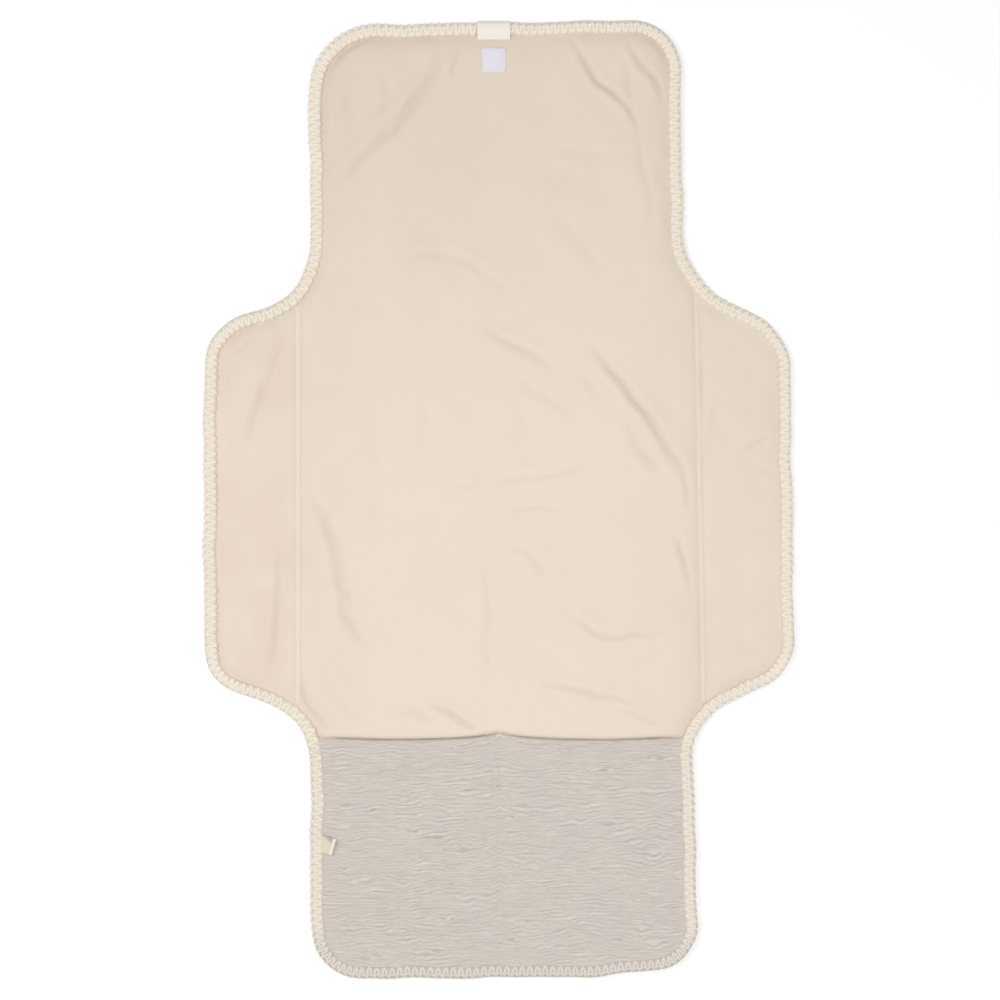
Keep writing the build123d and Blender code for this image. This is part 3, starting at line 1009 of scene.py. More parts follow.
lining_nodes = {"head": ["head_lining"], "middle": ["upper_lining", "lower_lining"],
                "foot": ["pocket_base_lining"]}
for key, (y_range, near_body, far_body, line) in long_pieces.items():
    piece = cut_sheet(f"lining_{key}", tucked, (None, None), y_range, cell, cell,
                      extra_x=seam_cuts, extra_y=fold_cuts(line), slants=middle_slants)
    flat, area = flat_measures(piece)
    finish_lining(piece)
    bend_long(piece)
    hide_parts(*lining_nodes[key])
    print(piece.name, len(piece.data.polygons), "faces")

for key, (side, y_range, body) in wings.items():
    piece = cut_sheet(f"{key}_cloth", tucked, (None, None), y_range, cell, cell, extra_x=seam_cuts,
                      slants=(seam_slant(side, False),))
    flat, area = flat_measures(piece)
    finish_lining(piece)
    bend_wing(piece)
    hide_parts(f"{key}_lining")
    print(piece.name, len(piece.data.polygons), "faces")

# %% [markdown]
# ## The batting
# Soft wadding fills the middle panel between lining and shell. It never shows, but it is a
# piece of the pad, and it has to bend with the cloth at every fold. Each piece is a cut sheet
# pulled up into a slab by an extrusion, with its top kept just under the lining.

# %% Make the batting
batting_foot = 1.9       # its underside, on the shell
batting_inset = 16.0
batting_cell = 4.0
pull = 1.0               # metres: far enough to tell the two faces apart, before both are placed
under_lining = 0.35      # the batting stays this far under the lining's lower face


def pull_up(piece, under, over):
    """Extrude a flat sheet into a closed slab between two height functions."""
    bpy.context.view_layer.objects.active = piece
    bpy.ops.object.mode_set(mode="EDIT")
    bpy.ops.mesh.select_all(action="SELECT")
    bpy.ops.mesh.extrude_region_move(TRANSFORM_OT_translate={"value": (0, 0, pull)})
    bpy.ops.mesh.select_all(action="SELECT")
    bpy.ops.mesh.normals_make_consistent(inside=False)
    bpy.ops.object.mode_set(mode="OBJECT")
    points = get_points(piece)
    upper = points[:, 2] > pull / MM / 2
    points[:, 2] = np.where(upper, over(points[:, 0], points[:, 1]), under)
    set_points(piece, points)


def batting_top(x, y):
    """Just under the lowest part of the lining near each point."""
    steps = ((0, 0), (2.4, 0), (-2.4, 0), (0, 2.4), (0, -2.4))
    lowest = np.min([lining_height(x + step_x, y + step_y) for step_x, step_y in steps], axis=0)
    return np.clip(lowest - cloth - under_lining, batting_foot + 0.15, None)


batting_half = wing_fold - 5.0
batting_slants = (((batting_half, 0), (-1, 0, 0)), ((-batting_half, 0), (1, 0, 0)))
batting_nodes = {"head": ["head_batting"], "middle": ["upper_batting"], "foot": ["lower_batting"]}
for key, (y_range, near_body, far_body, line) in long_pieces.items():
    if key == "foot":
        y_range = (mouth_end + 3.0, y_range[1])
    piece = cut_sheet(f"batting_{key}", batting_inset, (None, None), y_range, batting_cell, batting_cell,
                      extra_y=fold_cuts(line)[::2], slants=batting_slants)
    pull_up(piece, batting_foot, batting_top)
    smooth(piece, 60)
    paint(piece, batting_finish)
    bend_long(piece)
    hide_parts(*batting_nodes[key])
    print(piece.name, len(piece.data.polygons), "faces")

# %% [markdown]
# ## Crinkled muslin
# Muslin is woven loosely and washed until it shrinks into fine ridges, all running the same
# way across the cloth. Noise stretched across the pad makes them: long in x, short in y, and
# sharpened into ridges. Where the cloth is stitched down along the pocket's middle, the
# ridges are drawn up towards the seam, so the noise is sampled along a line that dips there.


# %% The crinkle and the underside
def crinkle(x, y, seed):
    """Height of the muslin's ridges, about -1 to 1: rounded ridges with sharp valleys between."""
    wander = 0.9 * hills(x / 26, y / 15, seed) + 0.5 * hills(x / 10, y / 6, seed + 1)
    wander = wander + 0.22 * hills(x / 5, y / 3, seed + 6)
    ridges = np.abs(np.sin(math.pi * (y / 3.3 + wander)))
    small = np.abs(np.sin(math.pi * (y / 2.1 + 1.7 * wander + 0.6 * hills(x / 17, y / 9, seed + 2))))
    mix = 0.5 + 0.5 * hills(x / 19, y / 8, seed + 3)
    strength = 0.72 + 0.45 * hills(x / 13, y / 5, seed + 4)
    return (2 * ((1 - mix) * ridges + mix * small) - 1.27) * strength


shell_lowest = 0.25
shell_crinkle = 0.5
shell_seed = 60
muslin_thickness = 0.7
muslin_columns, muslin_rows = 4.5, 1.15      # the muslin's grid is finer across its ridges


def shell_height(x, y):
    """The shell's underside: on the table, and lifted where it goes into the binding."""
    to_binding = from_edge(x, y) - binding_width
    lifted = 0.6 * (1 - ease(to_binding / 5.0 + 0.3))
    ridges = shell_crinkle * (0.5 + 0.5 * crinkle(x, y, shell_seed))
    return shell_lowest + lifted + ridges * ease(to_binding / 4 + 0.6)


shell_nodes = {"head": ["head_shell"], "middle": ["upper_shell", "lower_shell"],
               "foot": ["pocket_shell"]}


def finish_shell(piece):
    """Crinkle a flat piece of muslin, turn its outer side down and give it its thickness."""
    flat, area = flat_measures(piece)
    points = get_points(piece)
    points[:, 2] = shell_height(points[:, 0], points[:, 1])
    set_points(piece, points)
    # Painted shade: the muslin greyer in its crinkle valleys.
    mark(piece, "valley", np.clip(0.5 + 0.5 * crinkle(points[:, 0], points[:, 1], shell_seed), 0, 1))
    bpy.ops.object.mode_set(mode="EDIT")
    bpy.ops.mesh.select_all(action="SELECT")
    bpy.ops.mesh.flip_normals()
    bpy.ops.object.mode_set(mode="OBJECT")
    thicken(piece, muslin_thickness)
    smooth(piece, 60)
    paint(piece, muslin_cloth)


for key, (y_range, near_body, far_body, line) in long_pieces.items():
    piece = cut_sheet(f"shell_{key}", tucked, (None, None), y_range, muslin_columns, muslin_rows,
                      slants=middle_slants)
    finish_shell(piece)
    bend_long(piece)
    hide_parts(*shell_nodes[key])
    print(piece.name, len(piece.data.polygons), "faces")

for key, (side, y_range, body) in wings.items():
    piece = cut_sheet(f"{key}_muslin", tucked, (None, None), y_range, muslin_columns, muslin_rows,
                      extra_x=seam_cuts, slants=(seam_slant(side, False),))
    finish_shell(piece)
    bend_wing(piece)
    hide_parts(f"{key}_shell")
    print(piece.name, len(piece.data.polygons), "faces")

# %% [markdown]
# ## The pocket
# The muslin front lies over the foot of the lining, open at the fold line and sewn down its
# middle. Its mouth lifts a little off the lining in each half, dips between the two and is
# drawn up at the seam. A beige facing lines it and just shows above the muslin at the mouth.

# %% Shape of the pocket front
front_edge = 3.9          # at the binding and down the middle seam
front_rise = 3.0          # how far each half stands off that at the mouth
front_rise_low = 1.4      # and at the foot
seam_half = 0.8
hem_line = pocket_fold - 21.5
pull_height = 6.5         # how far the middle seam draws the ridges up
pull_reach = 13.0
seam_place = 0.8          # the middle seam is a little off centre
mouth_reach = 40.0        # the mouth's dips have died out this far below it


def seam_wander(y):
    """How far the hand-guided middle seam strays from its line."""
    return 0.5 * hills(y / 21, y * 0, 15)


def front_point(x, y):
    """Where a point of the flat front goes: its place along y, its height and its ridges."""
    from_mouth = pocket_fold - y
    moved = y + (mouth_line(x) - pocket_fold) * (1 - ease(from_mouth / mouth_reach))
    from_binding = from_edge(x, y) - binding_width
    to_edge = np.clip(from_binding, 0, None)
    off_seam = x - seam_place - seam_wander(y)
    to_seam = np.clip(np.abs(off_seam) - seam_half, 0, None)
    stand = ease(to_edge / 24.0) ** 0.6 * (0.45 + 0.55 * ease(to_seam / 20.0) ** 0.6)
    rise = front_rise_low + (front_rise - front_rise_low) * np.exp(-from_mouth / 50.0)
    to_foot = ease(from_binding / 10.0)
    drawn_up = pull_height * (1 + 0.35 * hills(y / 16, y * 0, 16))
    drawn_up = drawn_up * (1 - 0.6 * ease((from_mouth - 120) / 60))
    pulled = y - drawn_up * np.exp(-np.abs(off_seam) / pull_reach) - 5.0 * hills(x / 60, y / 80, 17)
    ridges = crinkle(x, pulled, 20)
    above_hem = ease((y - hem_line) / 1.2)
    hem_groove = 0.75 * np.exp(-((y - hem_line) / 0.8) ** 2)
    hem_groove = hem_groove * (0.6 + 0.5 * hills(x / 25, x * 0, 18))
    height = front_edge + rise * stand
    height = height + (0.40 - 0.16 * above_hem) * ridges * (0.4 + 0.6 * to_foot)
    height = height + (0.7 * hills(x / 34, y / 26, 9) + 0.3 * hills(x / 15, y / 17, 10)) * stand
    height = height - hem_groove * ease(from_binding / 6)
    height = height - 0.6 * np.exp(-(off_seam / 0.9) ** 2) * ease((from_mouth - 6) / 14)
    height = height + 0.5 * np.exp(-from_mouth / 1.5) * stand
    return moved, np.clip(height, front_edge - 1.2, None), ridges


# %% Make the pocket front and its facing
seam_grooves = np.arange(-2.1, 3.6, 0.7)     # closer cuts where the middle seam draws in
front = cut_sheet("pocket_muslin_front", tucked, (None, None), (None, pocket_fold), 3.0, 0.8,
                  extra_x=seam_grooves)
flat, area = flat_measures(front)
points = get_points(front)
points[:, 1], points[:, 2], ridges = front_point(points[:, 0], points[:, 1])
set_points(front, points)
# Painted shade: the muslin greyer in its crinkle valleys.
mark(front, "valley", np.clip(0.42 - 0.55 * ridges, 0, 1))
thicken(front, cloth)
smooth(front, 60)
paint(front, muslin_cloth)
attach(front, "pocket_panel")
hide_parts("pocket_front")

facing_depth = 45.0
facing_show = 0.7         # how far it stands out of the mouth
facing_cell = 3.2
facing_end = pocket_fold - facing_depth
facing = cut_sheet("pocket_mouth_facing", tucked + 3, (None, None), (facing_end, pocket_fold),
                   facing_cell, facing_cell)
flat, area = flat_measures(facing)
points = get_points(facing)
share = (points[:, 1] - facing_end) / facing_depth
moved, height, ridges = front_point(points[:, 0], points[:, 1])
points[:, 1] = moved + facing_show * share ** 4
smooth_height = height - 0.3 * ridges
points[:, 2] = np.clip(smooth_height - cloth - 1.1, 2.9, None)
set_points(facing, points)
thicken(facing, 0.5)
smooth(facing)
paint(facing, lining_cloth)
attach(facing, "pocket_panel")
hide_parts("pocket_facing")
print(front.name, len(front.data.polygons), "faces,", facing.name, len(facing.data.polygons))

# %% [markdown]
# ## The edge binding
# A tape is folded round the raw edges, and thick soft yarn is worked over it in a zigzag that
# wraps the edge, like a blanket stitch. A second strand runs along on top. The tape and both
# yarns are rolled from ruled grids: every ring of a tube is placed by how far along the edge
# it is, and the strands lean in and out once for every stitch.


# %% Places beside the edge, and tubes along a path
def beside_edge(along, inset):
    """Points in from the edge, at places along it in millimetres, which may be any number."""
    at = (np.asarray(along) / edge_length * len(edge)) % len(edge)
    low = np.floor(at).astype(int) % len(edge)
    part = (at - np.floor(at))[:, None]
    high = (low + 1) % len(edge)
    spot = edge[low] * (1 - part) + edge[high] * part
    towards = inward[low] * (1 - part) + inward[high] * part
    return spot + towards * np.asarray(inset)[:, None]


def rolled_tube(name, rings):
    """A closed tube from rings of points in millimetres: a grid rolled up, with its ends filled."""
    stations, sides = rings.shape[:2]
    bpy.ops.object.select_all(action="DESELECT")
    bpy.ops.mesh.primitive_grid_add(x_subdivisions=sides, y_subdivisions=stations - 1, size=2)
    tube = bpy.context.object
    flat = np.array([vertex.co for vertex in tube.data.vertices])
    column = np.rint((flat[:, 0] + 1) / 2 * sides).astype(int)
    row = np.rint((flat[:, 1] + 1) / 2 * (stations - 1)).astype(int)
    set_points(tube, rings[row, column % sides])
    begin(tube, name)
    bpy.ops.mesh.remove_doubles(threshold=0.0005 * MM)
    bpy.ops.mesh.select_all(action="DESELECT")
    bpy.ops.mesh.select_mode(type="EDGE")
    bpy.ops.mesh.select_non_manifold()
    bpy.ops.mesh.fill_holes(sides=0)
    bpy.ops.mesh.select_all(action="SELECT")
    bpy.ops.mesh.normals_make_consistent(inside=False)
    bpy.ops.object.mode_set(mode="OBJECT")
    return tube


def strand_rings(path, outward, wide, deep, sides=8):
    """Oval rings along a path: soft yarn lies flat against what it wraps, wider than deep."""
    heading = np.gradient(path, axis=0)
    across = np.cross(heading, outward)
    across = across / np.linalg.norm(across, axis=1)[:, None]
    upright = np.cross(across, heading)
    upright = upright / np.linalg.norm(upright, axis=1)[:, None]
    angles = np.arange(sides) * math.tau / sides
    return (path[:, None] + wide * np.cos(angles)[None, :, None] * across[:, None]
            + deep * np.sin(angles)[None, :, None] * upright[:, None])


# %% Size and stitch of the binding
stitch = 6.4             # one zigzag of the yarn along the edge
yarn_wide, yarn_deep = 1.5, 0.95      # half its width and half its depth
strand_wide, strand_deep = 0.8, 0.6
tape_top = 3.35
pocket_tape_top = 4.5
tape_foot = 1.1
tape_step = 1.6          # between two rings of the tape
strand_inset, strand_rise, strand_sway = 4.4, 0.75, 0.5


def tape_height(y):
    """Top of the tape: thicker where it also holds the pocket's cloth."""
    return tape_top + (pocket_tape_top - tape_top) * ease((pocket_fold + 12 - y) / 18)


def tape_section(y):
    """The tape's section as inset and height, from the inner top edge round to the inner foot."""
    top = tape_height(y)
    return np.array([
        (binding_width - 0.6, top - 0.7), (binding_width - 1.2, top), (7.5, top + 0.35),
        (4.0, top + 0.2), (2.2, top - 0.5), (1.3, (top + tape_foot) / 2), (2.2, tape_foot + 0.3),
        (4.0, tape_foot), (8.0, tape_foot), (binding_width - 0.6, tape_foot + 0.2),
    ])


# The yarn's way round the edge: inset, and height above the tape's top, or above the table.
wrap = smooth_line([(10.4, -0.15), (9.0, 0.3), (6.0, 0.5), (3.2, 0.2), (1.35, -0.75)], 6)
wrap_under = smooth_line([(0.9, 1.7), (1.6, 1.15), (3.4, 1.0), (6.5, 1.0), (10.2, 1.0)], 6)


def wrap_point(share, y):
    """Inset and height of the yarn's centre, from the inner top (0) to the inner foot (1)."""
    top = tape_height(y)
    inset = np.concatenate((wrap[:, 0], wrap_under[:, 0]))
    level = np.concatenate((np.zeros(len(wrap)), np.ones(len(wrap_under))))
    offset = np.concatenate((wrap[:, 1], wrap_under[:, 1]))
    step = np.hypot(np.diff(inset), np.diff(offset + (1 - level) * tape_top))
    reach = np.concatenate([[0], np.cumsum(step)])
    at = np.asarray(share) * reach[-1]
    low = np.interp(at, reach, level)
    return np.interp(at, reach, inset), (1 - low) * top + np.interp(at, reach, offset)


rng = np.random.default_rng(12)
stitch_count = round(edge_length / stitch)
stitch_length = edge_length / stitch_count
looseness = rng.uniform(-0.45, 0.45, (stitch_count + 1, 2))


def zigzag_path(start, stop, per_stitch=14):
    """The wrapped yarn between two places along the edge, and which way is out from the tape."""
    turns = np.linspace(start / stitch_length, stop / stitch_length,
                        max(8, round((stop - start) / stitch_length * per_stitch)))
    share = 0.5 - 0.5 * np.cos(math.tau * turns)
    along = (turns + 0.13 * np.sin(math.tau * turns)) * stitch_length
    y = beside_edge(along, np.zeros(len(along)))[:, 1]
    inset, height = wrap_point(share, y)
    before = wrap_point(np.clip(share - 0.02, 0, 1), y)
    after = wrap_point(np.clip(share + 0.02, 0, 1), y)
    slope = np.hypot(after[0] - before[0], after[1] - before[1])
    out_inset, out_up = (after[1] - before[1]) / slope, -(after[0] - before[0]) / slope
    at_peak = ease(1 - 4 * share)
    stitch_number = np.rint(turns).astype(int) % stitch_count
    inset = inset + at_peak * looseness[stitch_number, 0]
    along = along + at_peak * looseness[stitch_number, 1]
    path = np.column_stack((beside_edge(along, inset), height))
    towards = beside_edge(along, np.ones(len(along))) - beside_edge(along, np.zeros(len(along)))
    return path, np.column_stack((towards * out_inset[:, None], out_up))


def strand_path(start, stop):
    """A strand that runs along the tape and sways with the stitches."""
    along = np.linspace(start, stop, max(8, round((stop - start) / 1.1)))
    turns = along / stitch_length
    y = beside_edge(along, np.zeros(len(along)))[:, 1]
    lean = strand_inset + strand_sway * np.cos(math.tau * turns) + 0.15 * np.sin(0.37 * along)
    height = tape_height(y) + strand_rise - 0.18 * np.cos(2 * math.tau * turns)
    path = np.column_stack((beside_edge(along, lean), height))
    return path, np.tile((0.0, 0.0, 1.0), (len(path), 1))


# %% Lay the binding round the pad, a piece for each panel
def muslin_share(y):
    """How much the muslin shows through the binding: a little at the pocket, most at the foot."""
    return 0.25 * ease((pocket_fold - 3 - y) / 4) + 0.75 * ease((-352 - y) / 30)


def crossing(test):
    """The places along the edge where a test of x and y becomes true after being false."""
    passed = test(edge[:, 0], edge[:, 1])
    turns = np.flatnonzero(passed & ~np.roll(passed, 1))
    return turns * edge_length / len(edge)


right_top = crossing(lambda x, y: (x > seam_x(y, 1)) & (y > 0))[0]
right_middle = crossing(lambda x, y: (x > 0) & (y < middle_fold))[0]
right_foot = crossing(lambda x, y: (x < seam_x(y, 1)) & (x > 0) & (y < 0))[0]
left_foot = crossing(lambda x, y: (x < seam_x(y, -1)) & (y < 0))[0]
left_middle = crossing(lambda x, y: (x < 0) & (y > middle_fold))[0]
left_top = crossing(lambda x, y: (x > seam_x(y, -1)) & (x < 0) & (y > 0))[0]
edge_pieces = {
    "head": (left_top, right_top + edge_length * (right_top < left_top)),
    "upper_right_wing": (right_top, right_middle),
    "lower_right_wing": (right_middle, right_foot),
    "foot": (right_foot, left_foot),
    "lower_left_wing": (left_foot, left_middle),
    "upper_left_wing": (left_middle, left_top),
}
print({key: [round(float(place)) for place in span] for key, span in edge_pieces.items()})
binding_nodes = {"head": ["head_binding", "upper_binding"],
                 "foot": ["pocket_binding", "lower_binding"]}

for key, (start, stop) in edge_pieces.items():
    along = np.linspace(start, stop, round((stop - start) / tape_step))
    spots = beside_edge(along, np.zeros(len(along)))
    sections = np.array([tape_section(y) for y in spots[:, 1]])
    rib = 0.12 * np.sin(along / stitch_length * 2 * math.tau)[:, None]
    rings = np.array([
        np.column_stack((beside_edge(along, sections[:, column, 0]),
                         sections[:, column, 1] + (rib[:, 0] if column in (1, 2, 3) else 0)))
        for column in range(sections.shape[1])
    ]).transpose(1, 0, 2)
    tape = rolled_tube(f"binding_tape_{key}", rings)
    points = get_points(tape)
    # Painted shade: the tape darker at its outer rim and on its underside.
    rim_shade = 1 - ease((from_edge(points[:, 0], points[:, 1]) - 2.2) / 1.4)
    below = points[:, 2] < (tape_foot + tape_top) / 2
    mark(tape, "rim", np.clip(rim_shade + below, 0, 1))
    mark(tape, "over_pocket", muslin_share(points[:, 1]))
    paint(tape, tape_finish)
    path, outward = zigzag_path(start, stop)
    thinner = 1 - 0.3 * muslin_share(path[:, 1])[:, None, None]
    rings = strand_rings(path, outward, yarn_wide, yarn_deep)
    yarn = rolled_tube(f"binding_yarn_{key}", path[:, None] + (rings - path[:, None]) * thinner)
    paint(yarn, yarn_finish)
    path, outward = strand_path(start, stop)
    chain = rolled_tube(f"binding_strand_{key}", strand_rings(path, outward, strand_wide, strand_deep))
    paint(chain, yarn_finish)
    for strand in (yarn, chain):
        mark(strand, "over_pocket", muslin_share(get_points(strand)[:, 1]))
    for piece in (tape, yarn, chain):
        smooth(piece, 60)
        if key in long_pieces:
            bend_long(piece)
        else:
            bend_wing(piece)
    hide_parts(*binding_nodes.get(key, [f"{key}_binding"]))
    print(key, len(tape.data.polygons), len(yarn.data.polygons), len(chain.data.polygons), "faces")

# %% [markdown]
# ## Stitches
# A sewn line is a row of short raised stitches with a small gap between them. One stitch is
# modelled, a round bar pressed flat at its ends, and the rows are made of copies of it.

# %% One stitch, and rows of it
bpy.ops.object.select_all(action="DESELECT")
bpy.ops.mesh.primitive_uv_sphere_add(segments=8, ring_count=5, radius=0.5,
                                     rotation=(0, math.pi / 2, 0))
stitch_model = bpy.context.object
begin(stitch_model, "stitch_model")
bpy.ops.object.mode_set(mode="OBJECT")
bpy.ops.object.transform_apply(location=True, rotation=True, scale=True)
stitch_points = np.array([vertex.co for vertex in stitch_model.data.vertices])
stitch_faces = [tuple(face.vertices) for face in stitch_model.data.polygons]
bpy.data.objects.remove(stitch_model)


def stitch_row(name, lines, height_at, pitch=3.3, length=2.7, width=0.75, thick=0.6, sink=0.1):
    """Rows of stitches along lines of points, lying on a surface whose height is a function."""
    points, faces = [], []
    for line in lines:
        line = np.array(line, float)
        along = np.concatenate([[0], np.cumsum(np.linalg.norm(np.diff(line, axis=0), axis=1))])
        count = max(1, round(along[-1] / pitch))
        places = (np.arange(count) + 0.5) * along[-1] / count
        spots = np.column_stack([np.interp(places, along, line[:, axis]) for axis in (0, 1)])
        ahead = np.column_stack([np.interp(places + 0.2, along, line[:, axis]) for axis in (0, 1)])
        before = np.column_stack([np.interp(places - 0.2, along, line[:, axis]) for axis in (0, 1)])
        heading = (ahead - before) / np.linalg.norm(ahead - before, axis=1)[:, None]
        heights = height_at(spots[:, 0], spots[:, 1])
        for spot, (across, up), level in zip(spots, heading, heights):
            local = stitch_points * (length, width, thick)
            x = spot[0] + local[:, 0] * across - local[:, 1] * up
            y = spot[1] + local[:, 0] * up + local[:, 1] * across
            first = len(points)
            points.extend(zip(x, y, level + thick / 2 - sink + local[:, 2]))
            faces.extend(tuple(first + corner for corner in face) for face in stitch_faces)
    mesh = bpy.data.meshes.new(name)
    mesh.from_pydata((np.array(points) * MM).tolist(), [], faces)
    row = bpy.data.objects.new(name, mesh)
    bpy.context.scene.collection.objects.link(row)
    smooth(row, 80)
    paint(row, thread_finish)
    return row


# %% The sewn lines
def seam_ends(side, y_low, y_high, inset=2.2):
    """A line of points just inside a wing seam."""
    ys = np.linspace(y_low, y_high, 12)
    return np.column_stack((seam_x(ys, side) - side * inset, ys))


def seam_reach(side, sign):
    """How far a wing seam runs before it meets the binding."""
    ys = np.arange(0, 200, 1.0) * sign
    clear = from_edge(seam_x(ys, side), ys) > binding_width + 1
    return float(ys[clear][-1])


upper_rows = [seam_ends(side, middle_fold, seam_reach(side, 1)) for side in (-1, 1)]
lower_rows = [seam_ends(side, seam_reach(side, -1), middle_fold) for side in (-1, 1)]
for name, rows in (("upper", upper_rows), ("lower", lower_rows)):
    thread = stitch_row(f"{name}_wing_stitches", rows, lining_height, width=0.5, thick=0.35, sink=0.12)
    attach(thread, f"{name}_panel")
    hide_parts(f"{name}_seam_thread")


def front_height(x, y):
    """The pocket front's upper surface, for the threads that lie on it."""
    return front_point(x, y)[1]


seam_ys = np.linspace(float(mouth_line(np.array([0.0]))[0]) - 2, -386, 60)
centre_line = np.column_stack((seam_place + seam_wander(seam_ys), seam_ys))
centre_thread = stitch_row("pocket_centre_stitches", [centre_line],
                           lambda x, y: front_height(x, y) - 0.15, width=0.55, thick=0.45)
centre_thread.data.materials[0] = muslin_thread
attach(centre_thread, "pocket_panel")
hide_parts("pocket_centre_thread")

hem_rows = []
for side in (-1, 1):
    xs = np.linspace(5, 147, 30) * side
    drop = (mouth_line(xs) - pocket_fold) * (1 - ease((pocket_fold - hem_line) / mouth_reach))
    hem_rows.append(np.column_stack((xs, hem_line + drop)))
hem_thread = stitch_row("pocket_hem_stitches", hem_rows,
                        lambda x, y: front_height(x, np.full(len(x), hem_line)) - 0.1,
                        width=0.45, thick=0.4)
hem_thread.data.materials[0] = muslin_thread
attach(hem_thread, "pocket_panel")
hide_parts("pocket_hem_thread")

# %% [markdown]
# ## Label, care tab and closure
# A blank woven label is folded over the head edge, and a folded tape tab is caught in the
# pocket's binding. A soft loop patch is sewn to the lining below the label, and its hook
# patch to the shell, where the folded head flap meets it.


# %% Ribbons: a section swept across its width
def ribbon(name, section, width, centre, turn=0.0, thickness=0.5, columns=10):
    """A strip of tape that follows a section (out, up) and is given its thickness."""
    section = np.array(section, float)
    stations = len(section)
    bpy.ops.object.select_all(action="DESELECT")
    bpy.ops.mesh.primitive_grid_add(x_subdivisions=columns, y_subdivisions=stations - 1, size=2)
    strip = bpy.context.object
    strip.name = name
    strip.data.name = name
    flat = np.array([vertex.co for vertex in strip.data.vertices])
    across = flat[:, 0] / 2 * width
    row = np.rint((flat[:, 1] + 1) / 2 * (stations - 1)).astype(int)
    out, up = section[row, 0], section[row, 1]
    cos, sin = math.cos(turn), math.sin(turn)
    x = centre[0] + across * cos - out * sin
    y = centre[1] + across * sin + out * cos
    set_points(strip, np.column_stack((x, y, up)))
    thicken(strip, thickness)
    smooth(strip, 50)
    return strip


label_width = 27.4
label_low, label_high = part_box("top_label")
label_centre = ((label_low.x + label_high.x) / 2 / MM, label_low.y / MM)
label_reach = (label_high.y - label_low.y) / MM
label_out = label_reach - 0.6
label_section = smooth_line([
    (label_out - 15.2, 4.6), (label_out - 14.4, 4.9), (label_out - 11, 5.2), (label_out - 7, 5.6),
    (label_out - 3, 5.3), (label_out - 0.8, 4.2), (label_out, 2.6), (label_out - 0.4, 1.0),
], 6)
label = ribbon("top_label_tape", label_section, label_width, label_centre, thickness=0.45, columns=18)
paint(label, label_finish)
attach(label, "head_panel")
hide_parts("top_label")

tab_width = 14.0
tab_lean = 0.27          # it hangs a little askew
lip_start = 11.2         # how far out the tab turns back on itself
tab_low, tab_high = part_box("care_tab")
tab_centre = (tab_low.x / MM - 1.2, (tab_low.y + tab_high.y) / 2 / MM + 5.0)
tab_section = smooth_line([
    (0, 3.6), (5, 4.9), (9, 6.2), (11.6, 7.1), (13.4, 7.5),
    (14.0, 7.0), (13.2, 6.3), (10.0, 5.8), (6, 5.2), (0, 4.6),
], 6)
tab = ribbon("care_tab_tape", tab_section, tab_width, tab_centre, turn=-math.pi / 2 - tab_lean)
off_x, off_y = (get_points(tab)[:, :2] - tab_centre).T
along_tab = off_x * math.cos(tab_lean) - off_y * math.sin(tab_lean)
across_tab = off_x * math.sin(tab_lean) + off_y * math.cos(tab_lean)
# Painted highlight: the tab's turned-back end is paler.
lip = ease((along_tab - lip_start) / 1.0)
mark(tab, "lip", lip)
# Painted shadow inside the folded loop, at its upper corner.
mark(tab, "inside", 0.8 * ease((across_tab + along_tab * 0.45 - 6.2) / 3.0) * (1 - lip))
paint(tab, tab_finish)
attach(tab, "pocket_panel")
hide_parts("care_tab")


# %% The hook and loop patches
patch_cells = 36


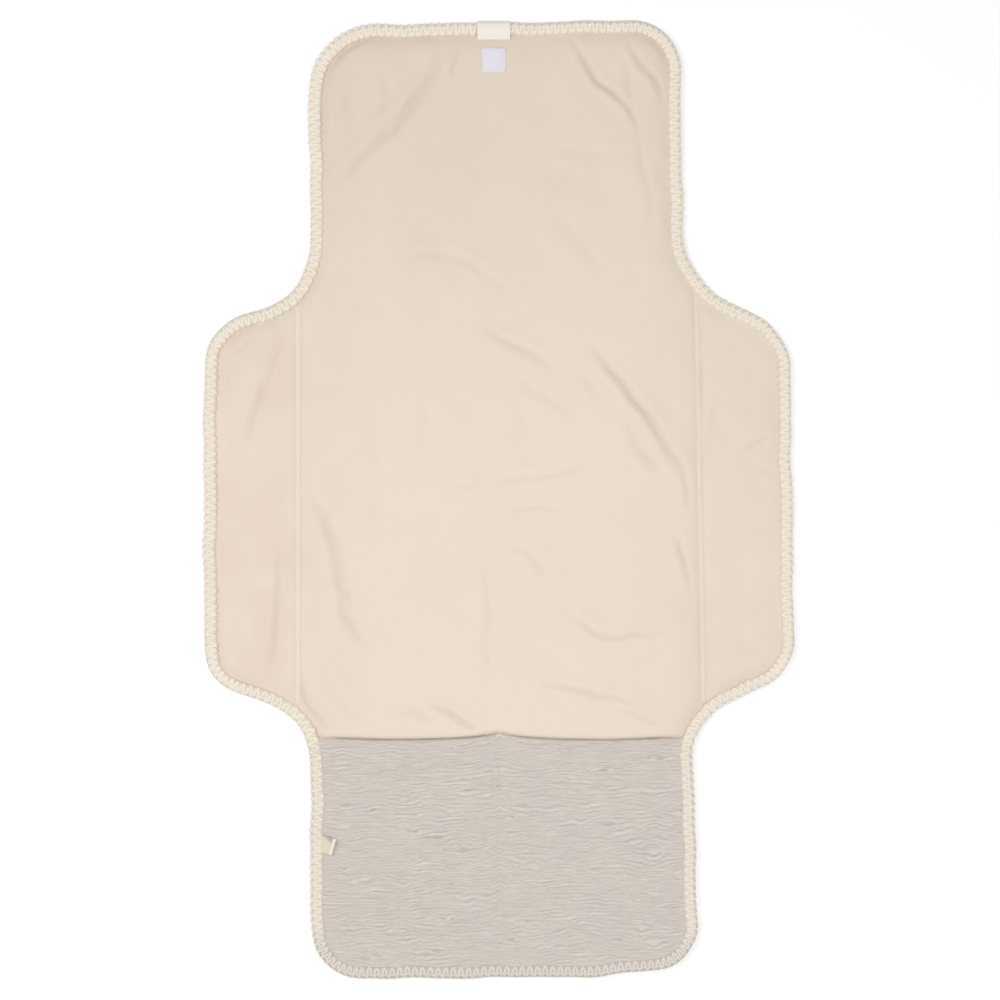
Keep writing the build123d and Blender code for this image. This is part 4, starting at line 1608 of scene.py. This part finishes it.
def patch(name, centre, size, low, high, grain_height, seed):
    """A square of tape with rounded corners and a lively surface."""
    bpy.ops.object.select_all(action="DESELECT")
    bpy.ops.mesh.primitive_grid_add(x_subdivisions=patch_cells, y_subdivisions=patch_cells, size=2)
    square = bpy.context.object
    square.name = name
    square.data.name = name
    flat = np.array([vertex.co for vertex in square.data.vertices])
    round_x = flat[:, 0] * (1 - 0.05 * np.abs(flat[:, 1]) ** 16)
    round_y = flat[:, 1] * (1 - 0.05 * np.abs(flat[:, 0]) ** 16)
    x = centre[0] + round_x * size / 2
    y = centre[1] + round_y * size / 2
    outwards = np.maximum(np.abs(flat[:, 0]), np.abs(flat[:, 1]))
    rim = ease((1 - outwards) / 0.08)
    pile = grain_height * hills(flat[:, 0] * 17, flat[:, 1] * 17, seed) * rim
    groove = 0.35 * np.exp(-((outwards - 0.84) / 0.05) ** 2)
    set_points(square, np.column_stack((x, y, high - 0.45 * (1 - rim) + pile - groove)))
    thicken(square, high - low)
    smooth(square, 60)
    return square


loop_low, loop_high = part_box("loop_patch")
loop_centre = ((loop_low.x + loop_high.x) / 2 / MM, (loop_low.y + loop_high.y) / 2 / MM - 0.8)
loop_level = float(lining_height(np.array([loop_centre[0]]), np.array([loop_centre[1]]))[0])
patch_side = (loop_high.x - loop_low.x) / MM
loop = patch("loop_patch_pile", loop_centre, patch_side, loop_level - 0.6, loop_level + 1.0, 0.22, 31)
paint(loop, loop_finish)
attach(loop, "head_panel")
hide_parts("loop_patch")


def square_line(centre, half):
    """A square of sewing, as a closed line."""
    corners_of = [(-half, -half), (half, -half), (half, half), (-half, half), (-half, -half)]
    return [(centre[0] + x, centre[1] + y) for x, y in corners_of]


patch_half = patch_side / 2 - 1.6
loop_thread = stitch_row("loop_patch_stitches", [square_line(loop_centre, patch_half)],
                         lambda x, y: np.full(len(x), loop_level + 0.62),
                         pitch=2.4, length=2.0, width=0.5)
loop_thread.data.materials[0] = patch_thread
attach(loop_thread, "head_panel")
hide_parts("loop_patch_thread")

hook_low, hook_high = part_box("hook_patch")
hook_centre = ((hook_low.x + hook_high.x) / 2 / MM, (hook_low.y + hook_high.y) / 2 / MM)
hook_lowest, hook_highest = 0.05, 1.2
hook = patch("hook_patch_tape", hook_centre, patch_side, hook_lowest, hook_highest, 0.08, 32)
points = get_points(hook)
points[:, 2] = hook_lowest + hook_highest - points[:, 2]
set_points(hook, points)
begin(hook, "hook_patch_tape")
bpy.ops.mesh.flip_normals()
bpy.ops.object.mode_set(mode="OBJECT")
paint(hook, hook_finish)
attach(hook, "lower_panel")
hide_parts("hook_patch")
hook_thread = stitch_row("hook_patch_stitches", [square_line(hook_centre, patch_half)],
                         lambda x, y: np.full(len(x), 0.0), pitch=2.4, length=2.0, width=0.6)
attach(hook_thread, "lower_panel")
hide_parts("hook_patch_thread")
